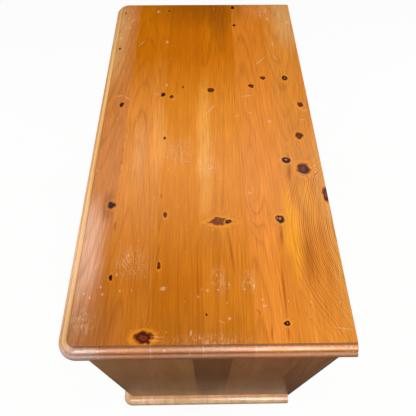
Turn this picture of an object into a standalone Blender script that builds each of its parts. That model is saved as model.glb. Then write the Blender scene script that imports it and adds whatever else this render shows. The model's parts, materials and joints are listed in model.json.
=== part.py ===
"""Pine dresser: moulded top, boarded ends and a base board on bun feet, two short drawers over two long."""
import math

import bmesh
import bpy
from mathutils import Matrix, Vector

# Driving dimensions in metres. The front looks to -Y, the right end to +X, and the feet stand on z = 0.

# Gap that neighbouring pieces keep where they touch.
GAP = 0.0003

# Top
TOP_LENGTH = 0.905
TOP_DEPTH = 0.450
TOP_THICKNESS = 0.025
TOP_END_OVERHANG = 0.021
TOP_FRONT_OVERHANG = 0.020
TOP_INNER_CORNER_RADIUS = 0.0135
TOP_QUIRK_DEPTH = 0.0018
TOP_OVOLO_WIDTH = 0.011
TOP_OVOLO_DROP = 0.006
TOP_GROOVE_DEPTH = 0.001
TOP_BEAD_WIDTH = 0.0065
TOP_BEAD_DROP = 0.007
TOP_UNDERCUT = 0.002

# Case
END_THICKNESS = 0.020
RAIL_THICKNESS = 0.020
RAIL_DEPTH = 0.065
TOP_RAIL_THICKNESS = 0.025
HOUSING_DEPTH = 0.008
UPRIGHT_WIDTH = 0.022
TENON_LENGTH = 0.008
TENON_THICKNESS = 0.008
TENON_SHOULDER = 0.012
RUNNER_WIDTH = 0.025
GUIDE_CLEARANCE = 0.002
GUIDE_HEIGHT = 0.025
BACK_THICKNESS = 0.006

# Clear height of each row of drawers
TOP_ROW_HEIGHT = 0.153
MIDDLE_ROW_HEIGHT = 0.170
BOTTOM_ROW_HEIGHT = 0.190

# Base board and feet
BASE_THICKNESS = 0.020
BASE_END_PROJECTION = 0.021
BASE_FRONT_PROJECTION = 0.023
BASE_INNER_CORNER_RADIUS = 0.005
BASE_ROUND_WIDTH = 0.017
BASE_SQUARE_EDGE = 0.007
BASE_ARRIS = 0.0015
FOOT_HEIGHT = 0.075
FOOT_DIAMETER = 0.098
FOOT_ROUNDING = 0.016
FOOT_COLLAR_RIM = 0.004
FOOT_COLLAR_HEIGHT = 0.007
FOOT_EDGE_DISTANCE = 0.066
SPIGOT_DIAMETER = 0.025
SPIGOT_COVER = 0.006

# Drawers
DRAWER_REAR_SPACE = 0.028
DRAWER_SIDE_CLEARANCE = 0.0015
DRAWER_TOP_CLEARANCE = 0.002
FRONT_THICKNESS = 0.020
FRONT_LIFT = 0.0007
SIDE_THICKNESS = 0.012
SIDE_DROP = 0.004
TAIL_LAP = 0.006
TAIL_PITCH = 0.036
TAIL_PIN_WIDTH = 0.011
TAIL_SLOPE = 1 / 7
DRAWER_BACK_THICKNESS = 0.012
DRAWER_BACK_INSET = 0.010
DRAWER_BACK_DROP = 0.008
DRAWER_BACK_HOUSING = 0.004
BOTTOM_THICKNESS = 0.006
BOTTOM_RISE = 0.010
BOTTOM_GROOVE = 0.006
STOP_LENGTH = 0.080
STOP_WIDTH = 0.020
STOP_CLEARANCE = 0.004

# Knobs and their screws
KNOB_DIAMETER = 0.042
KNOB_PROJECTION = 0.032
KNOB_SEAT_DIAMETER = 0.028
KNOB_SEAT_HEIGHT = 0.004
KNOB_NECK_DIAMETER = 0.020
KNOB_NECK_HEIGHT = 0.010
SCREW_DIAMETER = 0.0046
SCREW_HEAD_DIAMETER = 0.0095
SCREW_HEAD_HEIGHT = 0.003
SCREW_BITE = 0.018
SCREW_TIP = 0.004

# Smoothness of round shapes
TURNED_SEGMENTS = 24
SCREW_SEGMENTS = 12
ARC_STEPS = 5
CORNER_STEPS = 6

# Degrees between faces past which an edge of a turned piece stays sharp
SHARP_ANGLE = 35

# A cutter runs this far past the face that it opens.
OVERRUN = 0.001

# Levels and planes that follow from the driving dimensions
CASE_HALF_WIDTH = TOP_LENGTH / 2 - TOP_END_OVERHANG
INNER_HALF_WIDTH = CASE_HALF_WIDTH - END_THICKNESS
CASE_DEPTH = TOP_DEPTH - TOP_FRONT_OVERHANG
FRONT_REACH = max(KNOB_PROJECTION, BASE_FRONT_PROJECTION, TOP_FRONT_OVERHANG)
TOTAL_DEPTH = FRONT_REACH + CASE_DEPTH + GAP + BACK_THICKNESS
FRONT_Y = FRONT_REACH - TOTAL_DEPTH / 2
BACK_Y = FRONT_Y + CASE_DEPTH
RAIL_BACK_Y = FRONT_Y + RAIL_DEPTH
BASE_Z = FOOT_HEIGHT + GAP
FLOOR_Z = BASE_Z + BASE_THICKNESS
LOWER_RAIL_Z = FLOOR_Z + BOTTOM_ROW_HEIGHT
MIDDLE_ROW_Z = LOWER_RAIL_Z + RAIL_THICKNESS
UPPER_RAIL_Z = MIDDLE_ROW_Z + MIDDLE_ROW_HEIGHT
TOP_ROW_Z = UPPER_RAIL_Z + RAIL_THICKNESS
TOP_RAIL_Z = TOP_ROW_Z + TOP_ROW_HEIGHT
CASE_TOP_Z = TOP_RAIL_Z + TOP_RAIL_THICKNESS
TOP_Z = CASE_TOP_Z + GAP
TOP_MOULDING_WIDTH = TOP_BEAD_WIDTH + TOP_OVOLO_WIDTH
TAIL_LENGTH = FRONT_THICKNESS - TAIL_LAP


def linear(hex_colour):
    """Turn an sRGB hex colour into linear RGBA."""
    shades = [int(hex_colour[i:i + 2], 16) / 255 for i in (1, 3, 5)]
    return [s / 12.92 if s <= 0.04045 else ((s + 0.055) / 1.055) ** 2.4 for s in shades] + [1.0]


def make_material(name, hex_colour, roughness, metallic=0.0):
    """Principled material of one colour."""
    material = bpy.data.materials.new(name)
    material.use_nodes = True
    shader = material.node_tree.nodes["Principled BSDF"]
    shader.inputs["Base Color"].default_value = linear(hex_colour)
    shader.inputs["Roughness"].default_value = roughness
    shader.inputs["Metallic"].default_value = metallic
    return material


def box(low, high):
    """Closed box between two corners."""
    shape = bmesh.new()
    size = Vector(high) - Vector(low)
    centre = (Vector(high) + Vector(low)) / 2
    matrix = Matrix.Translation(centre) @ Matrix.Diagonal((*size, 1.0))
    bmesh.ops.create_cube(shape, size=1.0, matrix=matrix)
    return shape


def cylinder(centre, radius, length, axis, segments=TURNED_SEGMENTS):
    """Closed cylinder about a centre, along the named axis."""
    turn = Matrix.Rotation(math.pi / 2, 4, "X") if axis == "Y" else Matrix.Identity(4)
    shape = bmesh.new()
    bmesh.ops.create_cone(shape, cap_ends=True, segments=segments, radius1=radius, radius2=radius,
                          depth=length, matrix=Matrix.Translation(Vector(centre)) @ turn)
    return shape


def prism(outline, vector):
    """Closed solid from a flat outline of 3-D points, pushed along a vector."""
    shape = bmesh.new()
    face = shape.faces.new([shape.verts.new(point) for point in outline])
    pushed = bmesh.ops.extrude_face_region(shape, geom=[face])["geom"]
    moved = [part for part in pushed if isinstance(part, bmesh.types.BMVert)]
    bmesh.ops.translate(shape, verts=moved, vec=Vector(vector))
    bmesh.ops.recalc_face_normals(shape, faces=shape.faces)
    return shape


def arc(start, end):
    """Quarter round from one profile point to another, rising steeply first; the start is left out."""
    points = []
    for step in range(1, ARC_STEPS + 1):
        angle = math.pi / 2 * step / ARC_STEPS
        inset = start[0] + (end[0] - start[0]) * (1 - math.cos(angle))
        height = start[1] + (end[1] - start[1]) * math.sin(angle)
        points.append((inset, height))
    return points


def moulded_board(profile, half_length, front, back, inner_radius, bottom):
    """Board whose front and ends carry one profile of (inset, height) points from bottom to top."""
    shape = bmesh.new()
    rings = []
    corner_radius = profile[-1][0] + inner_radius
    for inset, height in profile:
        reach = half_length - inset
        radius = corner_radius - inset
        outline = [(-reach, back)]
        for side, first in ((-1, math.pi), (1, 1.5 * math.pi)):
            centre_x = side * (half_length - corner_radius)
            centre_y = front + corner_radius
            for step in range(CORNER_STEPS + 1):
                angle = first + math.pi / 2 * step / CORNER_STEPS
                outline.append((centre_x + radius * math.cos(angle), centre_y + radius * math.sin(angle)))
        outline.append((reach, back))
        rings.append([shape.verts.new((x, y, bottom + height)) for x, y in outline])
    count = len(rings[0])
    for low, high in zip(rings, rings[1:]):
        for i in range(count):
            j = (i + 1) % count
            shape.faces.new((low[i], low[j], high[j], high[i]))
    shape.faces.new(reversed(rings[0]))
    shape.faces.new(rings[-1])
    bmesh.ops.recalc_face_normals(shape, faces=shape.faces)
    return shape


def turned(profile, segments):
    """Solid of revolution about Z from (radius, height) points that start and end on the axis."""
    shape = bmesh.new()
    rings = []
    for radius, height in profile:
        if radius == 0:
            rings.append([shape.verts.new((0, 0, height))])
            continue
        ring = []
        for i in range(segments):
            angle = 2 * math.pi * i / segments
            ring.append(shape.verts.new((radius * math.cos(angle), radius * math.sin(angle), height)))
        rings.append(ring)
    for low, high in zip(rings, rings[1:]):
        for i in range(segments):
            j = (i + 1) % segments
            corners = [low[i % len(low)], low[j % len(low)], high[j % len(high)], high[i % len(high)]]
            shape.faces.new(dict.fromkeys(corners))
    bmesh.ops.recalc_face_normals(shape, faces=shape.faces)
    return shape


def to_mesh(name, shape):
    """Mesh data from a working shape."""
    mesh = bpy.data.meshes.new(name)
    shape.to_mesh(mesh)
    shape.free()
    return mesh


def carve(shape, cutters):
    """Shape with the cutters taken out of it; the cutters stay clear of one another."""
    tools = bmesh.new()
    for cutter in cutters:
        tools.from_mesh(to_mesh("cutter", cutter))
    body = bpy.data.objects.new("body", to_mesh("body", shape))
    tool = bpy.data.objects.new("tool", to_mesh("tool", tools))
    for item in (body, tool):
        bpy.context.scene.collection.objects.link(item)
    cut = body.modifiers.new("cut", "BOOLEAN")
    cut.operation = "DIFFERENCE"
    cut.solver = "EXACT"
    cut.object = tool
    evaluated = body.evaluated_get(bpy.context.evaluated_depsgraph_get())
    result = bmesh.new()
    result.from_mesh(evaluated.to_mesh())
    for item in (body, tool):
        bpy.data.objects.remove(item)
    return result


def add_piece(name, shape, material, origin, parent=None, smooth=False):
    """Named object from a shape; its origin is a point given in the shape's own coordinates."""
    mesh = to_mesh(name, shape)
    mesh.transform(Matrix.Translation(-Vector(origin)))
    mesh.materials.append(material)
    if smooth:
        mesh.shade_smooth()
        mesh.set_sharp_from_angle(angle=math.radians(SHARP_ANGLE))
    piece = bpy.data.objects.new(name, mesh)
    piece.location = origin
    piece.parent = parent
    bpy.context.scene.collection.objects.link(piece)
    return piece


def add_box(name, low, high, material, parent=None):
    """Plain board between two corners, with its origin at its centre."""
    return add_piece(name, box(low, high), material, (Vector(low) + Vector(high)) / 2, parent)


def top_profile():
    """Quirk, ovolo, groove and bead of the top's edge, as (inset, height) from the underside up."""
    bead_top = TOP_THICKNESS - TOP_QUIRK_DEPTH - TOP_OVOLO_DROP - TOP_GROOVE_DEPTH
    bead_low = bead_top - TOP_BEAD_DROP
    ovolo_low = bead_top + TOP_GROOVE_DEPTH
    ovolo_top = ovolo_low + TOP_OVOLO_DROP
    points = [(TOP_UNDERCUT, 0), (0, bead_low)]
    points += arc((0, bead_low), (TOP_BEAD_WIDTH, bead_top))
    points += [(TOP_BEAD_WIDTH, ovolo_low)]
    points += arc((TOP_BEAD_WIDTH, ovolo_low), (TOP_MOULDING_WIDTH, ovolo_top))
    points += [(TOP_MOULDING_WIDTH, TOP_THICKNESS)]
    return points


def base_profile():
    """Rounded upper edge of the base board, as (inset, height) from the underside up."""
    points = [(BASE_ARRIS, 0), (0, BASE_ARRIS), (0, BASE_SQUARE_EDGE)]
    return points + arc((0, BASE_SQUARE_EDGE), (BASE_ROUND_WIDTH, BASE_THICKNESS))


def foot_profile():
    """Bun foot from its sole up, with a collar and the spigot that enters the base board."""
    radius = FOOT_DIAMETER / 2
    sole = radius - FOOT_ROUNDING
    collar = sole + FOOT_COLLAR_RIM
    bun_height = FOOT_HEIGHT - FOOT_COLLAR_HEIGHT
    middle = bun_height / 2
    half_height = middle / math.sqrt(1 - (sole / radius) ** 2)
    points = [(0, 0)]
    steps = 2 * ARC_STEPS
    for step in range(steps + 1):
        height = bun_height * step / steps
        points.append((radius * math.sqrt(1 - ((height - middle) / half_height) ** 2), height))
    spigot_top = BASE_Z + BASE_THICKNESS - SPIGOT_COVER - GAP
    points += [(collar, bun_height), (collar, FOOT_HEIGHT)]
    points += [(SPIGOT_DIAMETER / 2, FOOT_HEIGHT), (SPIGOT_DIAMETER / 2, spigot_top), (0, spigot_top)]
    return points


def knob_profile():
    """Turned knob from the bottom of its screw hole, round its seat and neck, to the crown."""
    bore = SCREW_DIAMETER / 2 + GAP
    seat = KNOB_SEAT_DIAMETER / 2
    neck = KNOB_NECK_DIAMETER / 2
    crown = KNOB_DIAMETER / 2
    hole_end = SCREW_BITE + GAP
    points = [(0, hole_end), (bore, hole_end), (bore, GAP), (seat, GAP), (seat, KNOB_SEAT_HEIGHT)]
    points += [(neck, KNOB_NECK_HEIGHT)]
    head_height = KNOB_PROJECTION - KNOB_NECK_HEIGHT
    widest = KNOB_NECK_HEIGHT + head_height / 2
    points += arc((neck, KNOB_NECK_HEIGHT), (crown, widest))
    for step in range(1, ARC_STEPS + 1):
        angle = math.pi / 2 * step / ARC_STEPS
        radius = crown * math.cos(angle) if step < ARC_STEPS else 0
        points.append((radius, widest + head_height / 2 * math.sin(angle)))
    return points


def screw_profile():
    """Round-headed wood screw: head against the drawer front's inner face, point inside the knob."""
    shank = SCREW_DIAMETER / 2
    head = SCREW_HEAD_DIAMETER / 2
    inner_face = -FRONT_THICKNESS - GAP
    points = [(0, SCREW_BITE), (shank, SCREW_BITE - SCREW_TIP), (shank, inner_face), (head, inner_face)]
    for step in range(1, ARC_STEPS + 1):
        angle = math.pi / 2 * step / ARC_STEPS
        radius = head * math.cos(angle) if step < ARC_STEPS else 0
        points.append((radius, inner_face - SCREW_HEAD_HEIGHT * math.sin(angle)))
    return points


def tail_outlines(height, growth):
    """Dovetails along a drawer side's front edge, each as (y, z) corners grown by a clearance."""
    count = max(2, round(height / TAIL_PITCH))
    pitch = height / count
    tip_half = (pitch - TAIL_PIN_WIDTH) / 2
    tip_y = FRONT_THICKNESS - TAIL_LENGTH
    root_half = tip_half - TAIL_LENGTH * TAIL_SLOPE
    outlines = []
    for i in range(count):
        middle = (i + 0.5) * pitch
        tip = tip_half + growth
        root = root_half + growth
        outlines.append([(FRONT_THICKNESS + GAP, middle - root), (tip_y - growth, middle - tip),
                         (tip_y - growth, middle + tip), (FRONT_THICKNESS + GAP, middle + root)])
    return outlines


def add_case(pine, pale_pine):
    """Top, ends, base, back, rails, upright, runners, guide, cleats and stops."""
    top_front = FRONT_Y - TOP_FRONT_OVERHANG
    top = moulded_board(top_profile(), TOP_LENGTH / 2, top_front, BACK_Y, TOP_INNER_CORNER_RADIUS, TOP_Z)
    add_piece("top_panel", top, pine, (0, (top_front + BACK_Y) / 2, TOP_Z))

    base_half = CASE_HALF_WIDTH + BASE_END_PROJECTION
    base_front = FRONT_Y - BASE_FRONT_PROJECTION
    base = moulded_board(base_profile(), base_half, base_front, BACK_Y, BASE_INNER_CORNER_RADIUS, BASE_Z)
    foot_x = base_half - FOOT_EDGE_DISTANCE
    foot_places = {}
    for row, y in (("front", base_front + FOOT_EDGE_DISTANCE), ("back", BACK_Y - FOOT_EDGE_DISTANCE)):
        for hand, x in (("left", -foot_x), ("right", foot_x)):
            foot_places["foot_%s_%s" % (row, hand)] = (x, y, 0)
    socket_depth = BASE_THICKNESS - SPIGOT_COVER
    socket_z = BASE_Z + (socket_depth - OVERRUN) / 2
    sockets = [cylinder((x, y, socket_z), SPIGOT_DIAMETER / 2 + GAP, socket_depth + OVERRUN, "Z")
               for x, y, z in foot_places.values()]
    add_piece("base_board", carve(base, sockets), pine, (0, (base_front + BACK_Y) / 2, BASE_Z))
    for name, place in foot_places.items():
        foot = add_piece(name, turned(foot_profile(), TURNED_SEGMENTS), pine, (0, 0, 0), smooth=True)
        foot.location = place

    rail_rows = {"lower_drawer_rail": (LOWER_RAIL_Z, FRONT_Y, RAIL_THICKNESS),
                 "upper_drawer_rail": (UPPER_RAIL_Z, FRONT_Y, RAIL_THICKNESS),
                 "top_front_rail": (TOP_RAIL_Z, FRONT_Y, TOP_RAIL_THICKNESS),
                 "top_rear_rail": (TOP_RAIL_Z, BACK_Y - RAIL_DEPTH, TOP_RAIL_THICKNESS)}
    for hand, side in (("left", -1), ("right", 1)):
        inner = side * INNER_HALF_WIDTH
        outer = side * CASE_HALF_WIDTH
        low = (min(inner, outer), FRONT_Y, FLOOR_Z + GAP)
        high = (max(inner, outer), BACK_Y, CASE_TOP_Z)
        open_x = inner - side * OVERRUN
        closed_x = inner + side * (HOUSING_DEPTH + GAP)
        housings = []
        for rail_z, rail_y, thickness in rail_rows.values():
            front_open = OVERRUN if rail_y == FRONT_Y else GAP
            back_open = GAP if rail_y == FRONT_Y else OVERRUN
            top_open = OVERRUN if rail_z == TOP_RAIL_Z else GAP
            housings.append(box((min(open_x, closed_x), rail_y - front_open, rail_z - GAP),
                                (max(open_x, closed_x), rail_y + RAIL_DEPTH + back_open,
                                 rail_z + thickness + top_open)))
        panel = carve(box(low, high), housings)
        add_piece("end_panel_" + hand, panel, pine, (Vector(low) + Vector(high)) / 2)

    add_box("back_panel", (-CASE_HALF_WIDTH, BACK_Y + GAP, BASE_Z),
            (CASE_HALF_WIDTH, BACK_Y + GAP + BACK_THICKNESS, CASE_TOP_Z), pale_pine)

    tenon_low = (-TENON_THICKNESS / 2, FRONT_Y + TENON_SHOULDER)
    tenon_high = (TENON_THICKNESS / 2, RAIL_BACK_Y - TENON_SHOULDER)
    mortise_z = {"upper_drawer_rail": (TOP_ROW_Z - TENON_LENGTH - GAP, TOP_ROW_Z + OVERRUN),
                 "top_front_rail": (TOP_RAIL_Z - OVERRUN, TOP_RAIL_Z + TENON_LENGTH + GAP)}
    rail_half = INNER_HALF_WIDTH + HOUSING_DEPTH
    for name, (rail_z, rail_y, thickness) in rail_rows.items():
        low = (-rail_half, rail_y, rail_z)
        high = (rail_half, rail_y + RAIL_DEPTH, rail_z + thickness)
        rail = box(low, high)
        if name in mortise_z:
            mortise_low, mortise_high = mortise_z[name]
            rail = carve(rail, [box((tenon_low[0] - GAP, tenon_low[1] - GAP, mortise_low),
                                    (tenon_high[0] + GAP, tenon_high[1] + GAP, mortise_high))])
        add_piece(name, rail, pine, (Vector(low) + Vector(high)) / 2)

    upright_low = TOP_ROW_Z + GAP
    upright_high = TOP_RAIL_Z - GAP
    outline = [(UPRIGHT_WIDTH / 2, upright_low), (UPRIGHT_WIDTH / 2, upright_high),
               (-UPRIGHT_WIDTH / 2, upright_high), (-UPRIGHT_WIDTH / 2, upright_low)]
    upright = prism([(x, FRONT_Y, z) for x, z in outline], (0, RAIL_DEPTH, 0))
    upright = add_tenon(upright, tenon_low, tenon_high, upright_low, TOP_ROW_Z - TENON_LENGTH)
    upright = add_tenon(upright, tenon_low, tenon_high, upright_high, TOP_RAIL_Z + TENON_LENGTH)
    add_piece("centre_upright", upright, pine, (0, FRONT_Y, (upright_low + upright_high) / 2))

    centre_half = UPRIGHT_WIDTH / 2 + RUNNER_WIDTH
    lanes = {"left": (-INNER_HALF_WIDTH + GAP, -INNER_HALF_WIDTH + RUNNER_WIDTH),
             "centre": (-centre_half, centre_half),
             "right": (INNER_HALF_WIDTH - RUNNER_WIDTH, INNER_HALF_WIDTH - GAP)}
    for hand, (x_low, x_high) in lanes.items():
        add_box("upper_runner_" + hand, (x_low, RAIL_BACK_Y + GAP, UPPER_RAIL_Z),
                (x_high, BACK_Y, TOP_ROW_Z), pale_pine)
        add_box("top_cleat_" + hand, (x_low, RAIL_BACK_Y + GAP, TOP_RAIL_Z),
                (x_high, BACK_Y - RAIL_DEPTH - GAP, CASE_TOP_Z), pale_pine)
    for hand in ("left", "right"):
        x_low, x_high = lanes[hand]
        add_box("lower_runner_" + hand, (x_low, RAIL_BACK_Y + GAP, LOWER_RAIL_Z),
                (x_high, BACK_Y, MIDDLE_ROW_Z), pale_pine)
    guide_half = UPRIGHT_WIDTH / 2 - GUIDE_CLEARANCE
    add_box("centre_guide", (-guide_half, RAIL_BACK_Y + GAP, TOP_ROW_Z + GAP),
            (guide_half, BACK_Y, TOP_ROW_Z + GAP + GUIDE_HEIGHT), pale_pine)


def add_tenon(upright, low, high, z_near, z_far):
    """Upright with a stub tenon drawn out of its end face."""
    end = [face for face in upright.faces if abs(face.calc_center_median().z - z_near) < GAP / 2]
    bmesh.ops.delete(upright, geom=end, context="FACES_ONLY")
    corners = [vert for vert in upright.verts if abs(vert.co.z - z_near) < GAP / 2]
    inner = {}
    for vert in corners:
        x = low[0] if vert.co.x < 0 else high[0]
        y = low[1] if vert.co.y < (low[1] + high[1]) / 2 else high[1]
        inner[vert] = (upright.verts.new((x, y, z_near)), upright.verts.new((x, y, z_far)))
    middle = sum((vert.co for vert in corners), Vector()) / len(corners)
    ring = sorted(corners, key=lambda vert: math.atan2(vert.co.y - middle.y, vert.co.x - middle.x))
    for a, b in zip(ring, ring[1:] + ring[:1]):
        upright.faces.new((a, b, inner[b][0], inner[a][0]))
        upright.faces.new((inner[a][0], inner[b][0], inner[b][1], inner[a][1]))
    upright.faces.new([inner[vert][1] for vert in ring])
    bmesh.ops.recalc_face_normals(upright, faces=upright.faces)
    return upright


def add_drawer(name, width, row_height, place, knob_places, pine, pale_pine, steel):
    """One drawer in its own coordinates: y = 0 on the front face, z = 0 under the sides."""
    frame = bpy.data.objects.new(name, None)
    frame.location = place
    bpy.context.scene.collection.objects.link(frame)
    height = row_height - GAP - DRAWER_TOP_CLEARANCE
    side_height = height - SIDE_DROP
    half = width / 2
    inner = half - SIDE_THICKNESS
    length = CASE_DEPTH - DRAWER_REAR_SPACE
    bottom_top = BOTTOM_RISE + BOTTOM_THICKNESS
    knob_z = (FRONT_LIFT + height) / 2
    tongue = inner - 2 * OVERRUN
    back_high_y = length - DRAWER_BACK_INSET
    back_low_y = back_high_y - DRAWER_BACK_THICKNESS

    cutters = [box((-tongue - GAP, FRONT_THICKNESS - BOTTOM_GROOVE - GAP, BOTTOM_RISE - GAP),
                   (tongue + GAP, FRONT_THICKNESS + OVERRUN, bottom_top + GAP))]
    for side in (-1, 1):
        for corners in tail_outlines(side_height, GAP):
            outline = [(side * (inner - GAP), y, z) for y, z in corners]
            cutters.append(prism(outline, (side * (SIDE_THICKNESS + GAP + OVERRUN), 0, 0)))
    for x in knob_places:
        cutters.append(cylinder((x, FRONT_THICKNESS / 2, knob_z), SCREW_DIAMETER / 2 + GAP,
                                FRONT_THICKNESS + 2 * OVERRUN, "Y", SCREW_SEGMENTS))
    front = carve(box((-half, 0, FRONT_LIFT), (half, FRONT_THICKNESS, height)), cutters)
    add_piece(name + "_front", front, pine, (0, 0, height / 2), frame)

    root_y = FRONT_THICKNESS + GAP
    for hand, side in (("left", -1), ("right", 1)):
        outline = [(length, 0), (length, side_height), (root_y, side_height)]
        for corners in reversed(tail_outlines(side_height, 0)):
            outline += reversed(corners)
        outline.append((root_y, 0))
        board = prism([(side * inner, y, z) for y, z in outline], (side * SIDE_THICKNESS, 0, 0))
        open_x = side * (inner - OVERRUN)
        groove_x = side * (inner + BOTTOM_GROOVE)
        housing_x = side * (inner + DRAWER_BACK_HOUSING)
        groove = box((min(open_x, groove_x), FRONT_THICKNESS - OVERRUN, BOTTOM_RISE - GAP),
                     (max(open_x, groove_x), length + OVERRUN, bottom_top + GAP))
        housing = box((min(open_x, housing_x), back_low_y - GAP, bottom_top),
                      (max(open_x, housing_x), back_high_y + GAP, side_height + OVERRUN))
        board = carve(carve(board, [groove]), [housing])
        add_piece("%s_%s_side" % (name, hand), board, pale_pine, (side * inner, length / 2, 0), frame)

    back_half = inner + DRAWER_BACK_HOUSING - GAP
    add_box(name + "_back", (-back_half, back_low_y, bottom_top + GAP),
            (back_half, back_high_y, side_height - DRAWER_BACK_DROP), pale_pine, frame)

    wide = inner + BOTTOM_GROOVE - GAP
    tongue_y = FRONT_THICKNESS - BOTTOM_GROOVE
    plan = [(-wide, root_y), (-tongue, root_y), (-tongue, tongue_y), (tongue, tongue_y),
            (tongue, root_y), (wide, root_y), (wide, back_high_y), (-wide, back_high_y)]
    bottom = prism([(x, y, BOTTOM_RISE) for x, y in plan], (0, 0, BOTTOM_THICKNESS))
    add_piece(name + "_bottom", bottom, pale_pine, (0, length / 2, BOTTOM_RISE), frame)

    facing_front = Matrix.Rotation(math.pi / 2, 4, "X").to_euler()
    hands = ("",) if len(knob_places) == 1 else ("_left", "_right")
    for hand, x in zip(hands, knob_places):
        knob = add_piece(name + hand + "_knob", turned(knob_profile(), TURNED_SEGMENTS), pine,
                         (0, 0, 0), frame, smooth=True)
        screw = add_piece(name + hand + "_knob_screw", turned(screw_profile(), SCREW_SEGMENTS), steel,
                          (0, 0, 0), frame, smooth=True)
        for piece in (knob, screw):
            piece.location = (x, 0, knob_z)
            piece.rotation_euler = facing_front

    stop_low = Vector((-STOP_LENGTH / 2, root_y, 0))
    stop_high = Vector((STOP_LENGTH / 2, root_y + STOP_WIDTH, BOTTOM_RISE - STOP_CLEARANCE))
    add_box(name + "_stop", stop_low + frame.location, stop_high + frame.location, pale_pine)


for leftover in list(bpy.data.objects):
    bpy.data.objects.remove(leftover)

honey_pine = make_material("honey_pine", "#c07a36", 0.35)
bare_pine = make_material("bare_pine", "#d9b483", 0.6)
zinc_steel = make_material("zinc_steel", "#b8b4a8", 0.35, 1.0)

add_case(honey_pine, bare_pine)

long_width = 2 * (INNER_HALF_WIDTH - DRAWER_SIDE_CLEARANCE)
short_width = INNER_HALF_WIDTH - UPRIGHT_WIDTH / 2 - 2 * DRAWER_SIDE_CLEARANCE
short_centre = (INNER_HALF_WIDTH + UPRIGHT_WIDTH / 2) / 2
drawers = {"top_left_drawer": (short_width, TOP_ROW_HEIGHT, -short_centre, TOP_ROW_Z, [0]),
           "top_right_drawer": (short_width, TOP_ROW_HEIGHT, short_centre, TOP_ROW_Z, [0]),
           "middle_drawer": (long_width, MIDDLE_ROW_HEIGHT, 0, MIDDLE_ROW_Z, [-short_centre, short_centre]),
           "bottom_drawer": (long_width, BOTTOM_ROW_HEIGHT, 0, FLOOR_Z, [-short_centre, short_centre])}
for drawer_name, (wide, tall, centre_x, row_z, knobs) in drawers.items():
    drawer_place = (centre_x, FRONT_Y, row_z + GAP)
    add_drawer(drawer_name, wide, tall, drawer_place, knobs, honey_pine, bare_pine, zinc_steel)
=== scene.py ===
import json
import math

import bmesh
import bpy
from mathutils import Matrix, Vector, noise


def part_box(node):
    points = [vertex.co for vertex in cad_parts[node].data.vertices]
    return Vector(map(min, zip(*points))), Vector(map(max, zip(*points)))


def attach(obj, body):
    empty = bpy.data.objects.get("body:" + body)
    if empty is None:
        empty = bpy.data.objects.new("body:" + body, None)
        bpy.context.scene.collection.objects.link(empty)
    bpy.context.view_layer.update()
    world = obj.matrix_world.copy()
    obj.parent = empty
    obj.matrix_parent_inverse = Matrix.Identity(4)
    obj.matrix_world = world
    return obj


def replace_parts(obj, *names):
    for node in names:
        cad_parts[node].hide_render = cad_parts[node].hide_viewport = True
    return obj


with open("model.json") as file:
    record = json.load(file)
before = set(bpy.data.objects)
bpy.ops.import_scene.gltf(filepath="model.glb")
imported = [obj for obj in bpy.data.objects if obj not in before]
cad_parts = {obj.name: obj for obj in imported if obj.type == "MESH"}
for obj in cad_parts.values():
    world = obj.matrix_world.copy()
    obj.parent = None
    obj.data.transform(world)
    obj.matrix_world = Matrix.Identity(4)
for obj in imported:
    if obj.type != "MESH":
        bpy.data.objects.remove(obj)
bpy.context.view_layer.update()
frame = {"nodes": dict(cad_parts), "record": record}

scene = bpy.context.scene


# Turned bun feet
# Four pine blocks turned on a lathe, stained honey and lacquered like the case. The spigot on
# top of each is glued into a blind hole in the base board.
MM = 0.001
FEET = ("foot_front_left", "foot_front_right", "foot_back_left", "foot_back_right")
FOOT_HEIGHT = 75 * MM
FOOT_COLLAR_HEIGHT = 7 * MM
FOOT_ROUNDING = 16 * MM
FOOT_COLLAR_RIM = 4 * MM
FOOT_EASE = 1.2 * MM
SPIGOT_DIAMETER = 25 * MM
LATHE_STEPS = 72
BUN_STEPS = 28
SHARP_ANGLE = math.radians(40)
# Wear, here and on all the other pieces: 1 is rubbed bare, 0 is sound and below 0 is soiled. On the top's
# moulding the soiling is also painted shade in the hollows, and the rubbing of the ovolo a painted highlight.
BUN_RUB = 0.55
COLLAR_RUB = 0.4
COLLAR_TOP_RUB = 0.2
COLLAR_GRIME = -0.8

# Scots pine as it is sawn: pale early wood and a narrow dark line of late wood in each year's ring.
# Single fibres are too fine to show, so they are drawn in bundles.
RING_WIDTH = 3.4 * MM
HEART_DEPTH = 14 * MM
HEART_DEPTH_SPREAD = 50 * MM
HEART_SIDE_SPREAD = 60 * MM
HEART_SLOPE = 0.10
RING_WOBBLE = 14 * MM
WOBBLES_PER_METRE = (1.5, 13, 13)
FIBRE_WIDTH = 1.5 * MM
FIBRE_LENGTH = 55 * MM
STREAK_WIDTH = 19 * MM
STREAK_LENGTH = 600 * MM
BOARDS_APART = (7, 7, 7)
# Darkness of the wood by share of the year, and how dark the line of a lean year still is.
SEASONS = ((0.0, 0.06), (0.55, 0.12), (0.86, 1.0), (1.0, 0.10))
LEAN_YEAR = 0.35
YEARS_APART = 31.0
# Knots: spacing, radius, and how far the rings bend round one between two distances in radii.
KNOT_SPACING = 105 * MM
KNOT_LEAST = 2.5 * MM
KNOT_MOST = 8 * MM
KNOT_PUSH = 9 * MM
KNOT_BEND = (3.4, 0.5, 0, KNOT_PUSH)
NO_KNOT = 50.0

body_of = {node: body for body, nodes in frame["record"]["behaviour"]["bodies"].items() for node in nodes}


def linear(hex_colour):
    """Linear colour, with full alpha, of an sRGB hex value."""
    shades = [int(hex_colour[i:i + 2], 16) / 255 for i in (0, 2, 4)]
    return [s / 12.92 if s <= 0.04045 else ((s + 0.055) / 1.055) ** 2.4 for s in shades] + [1.0]


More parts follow.
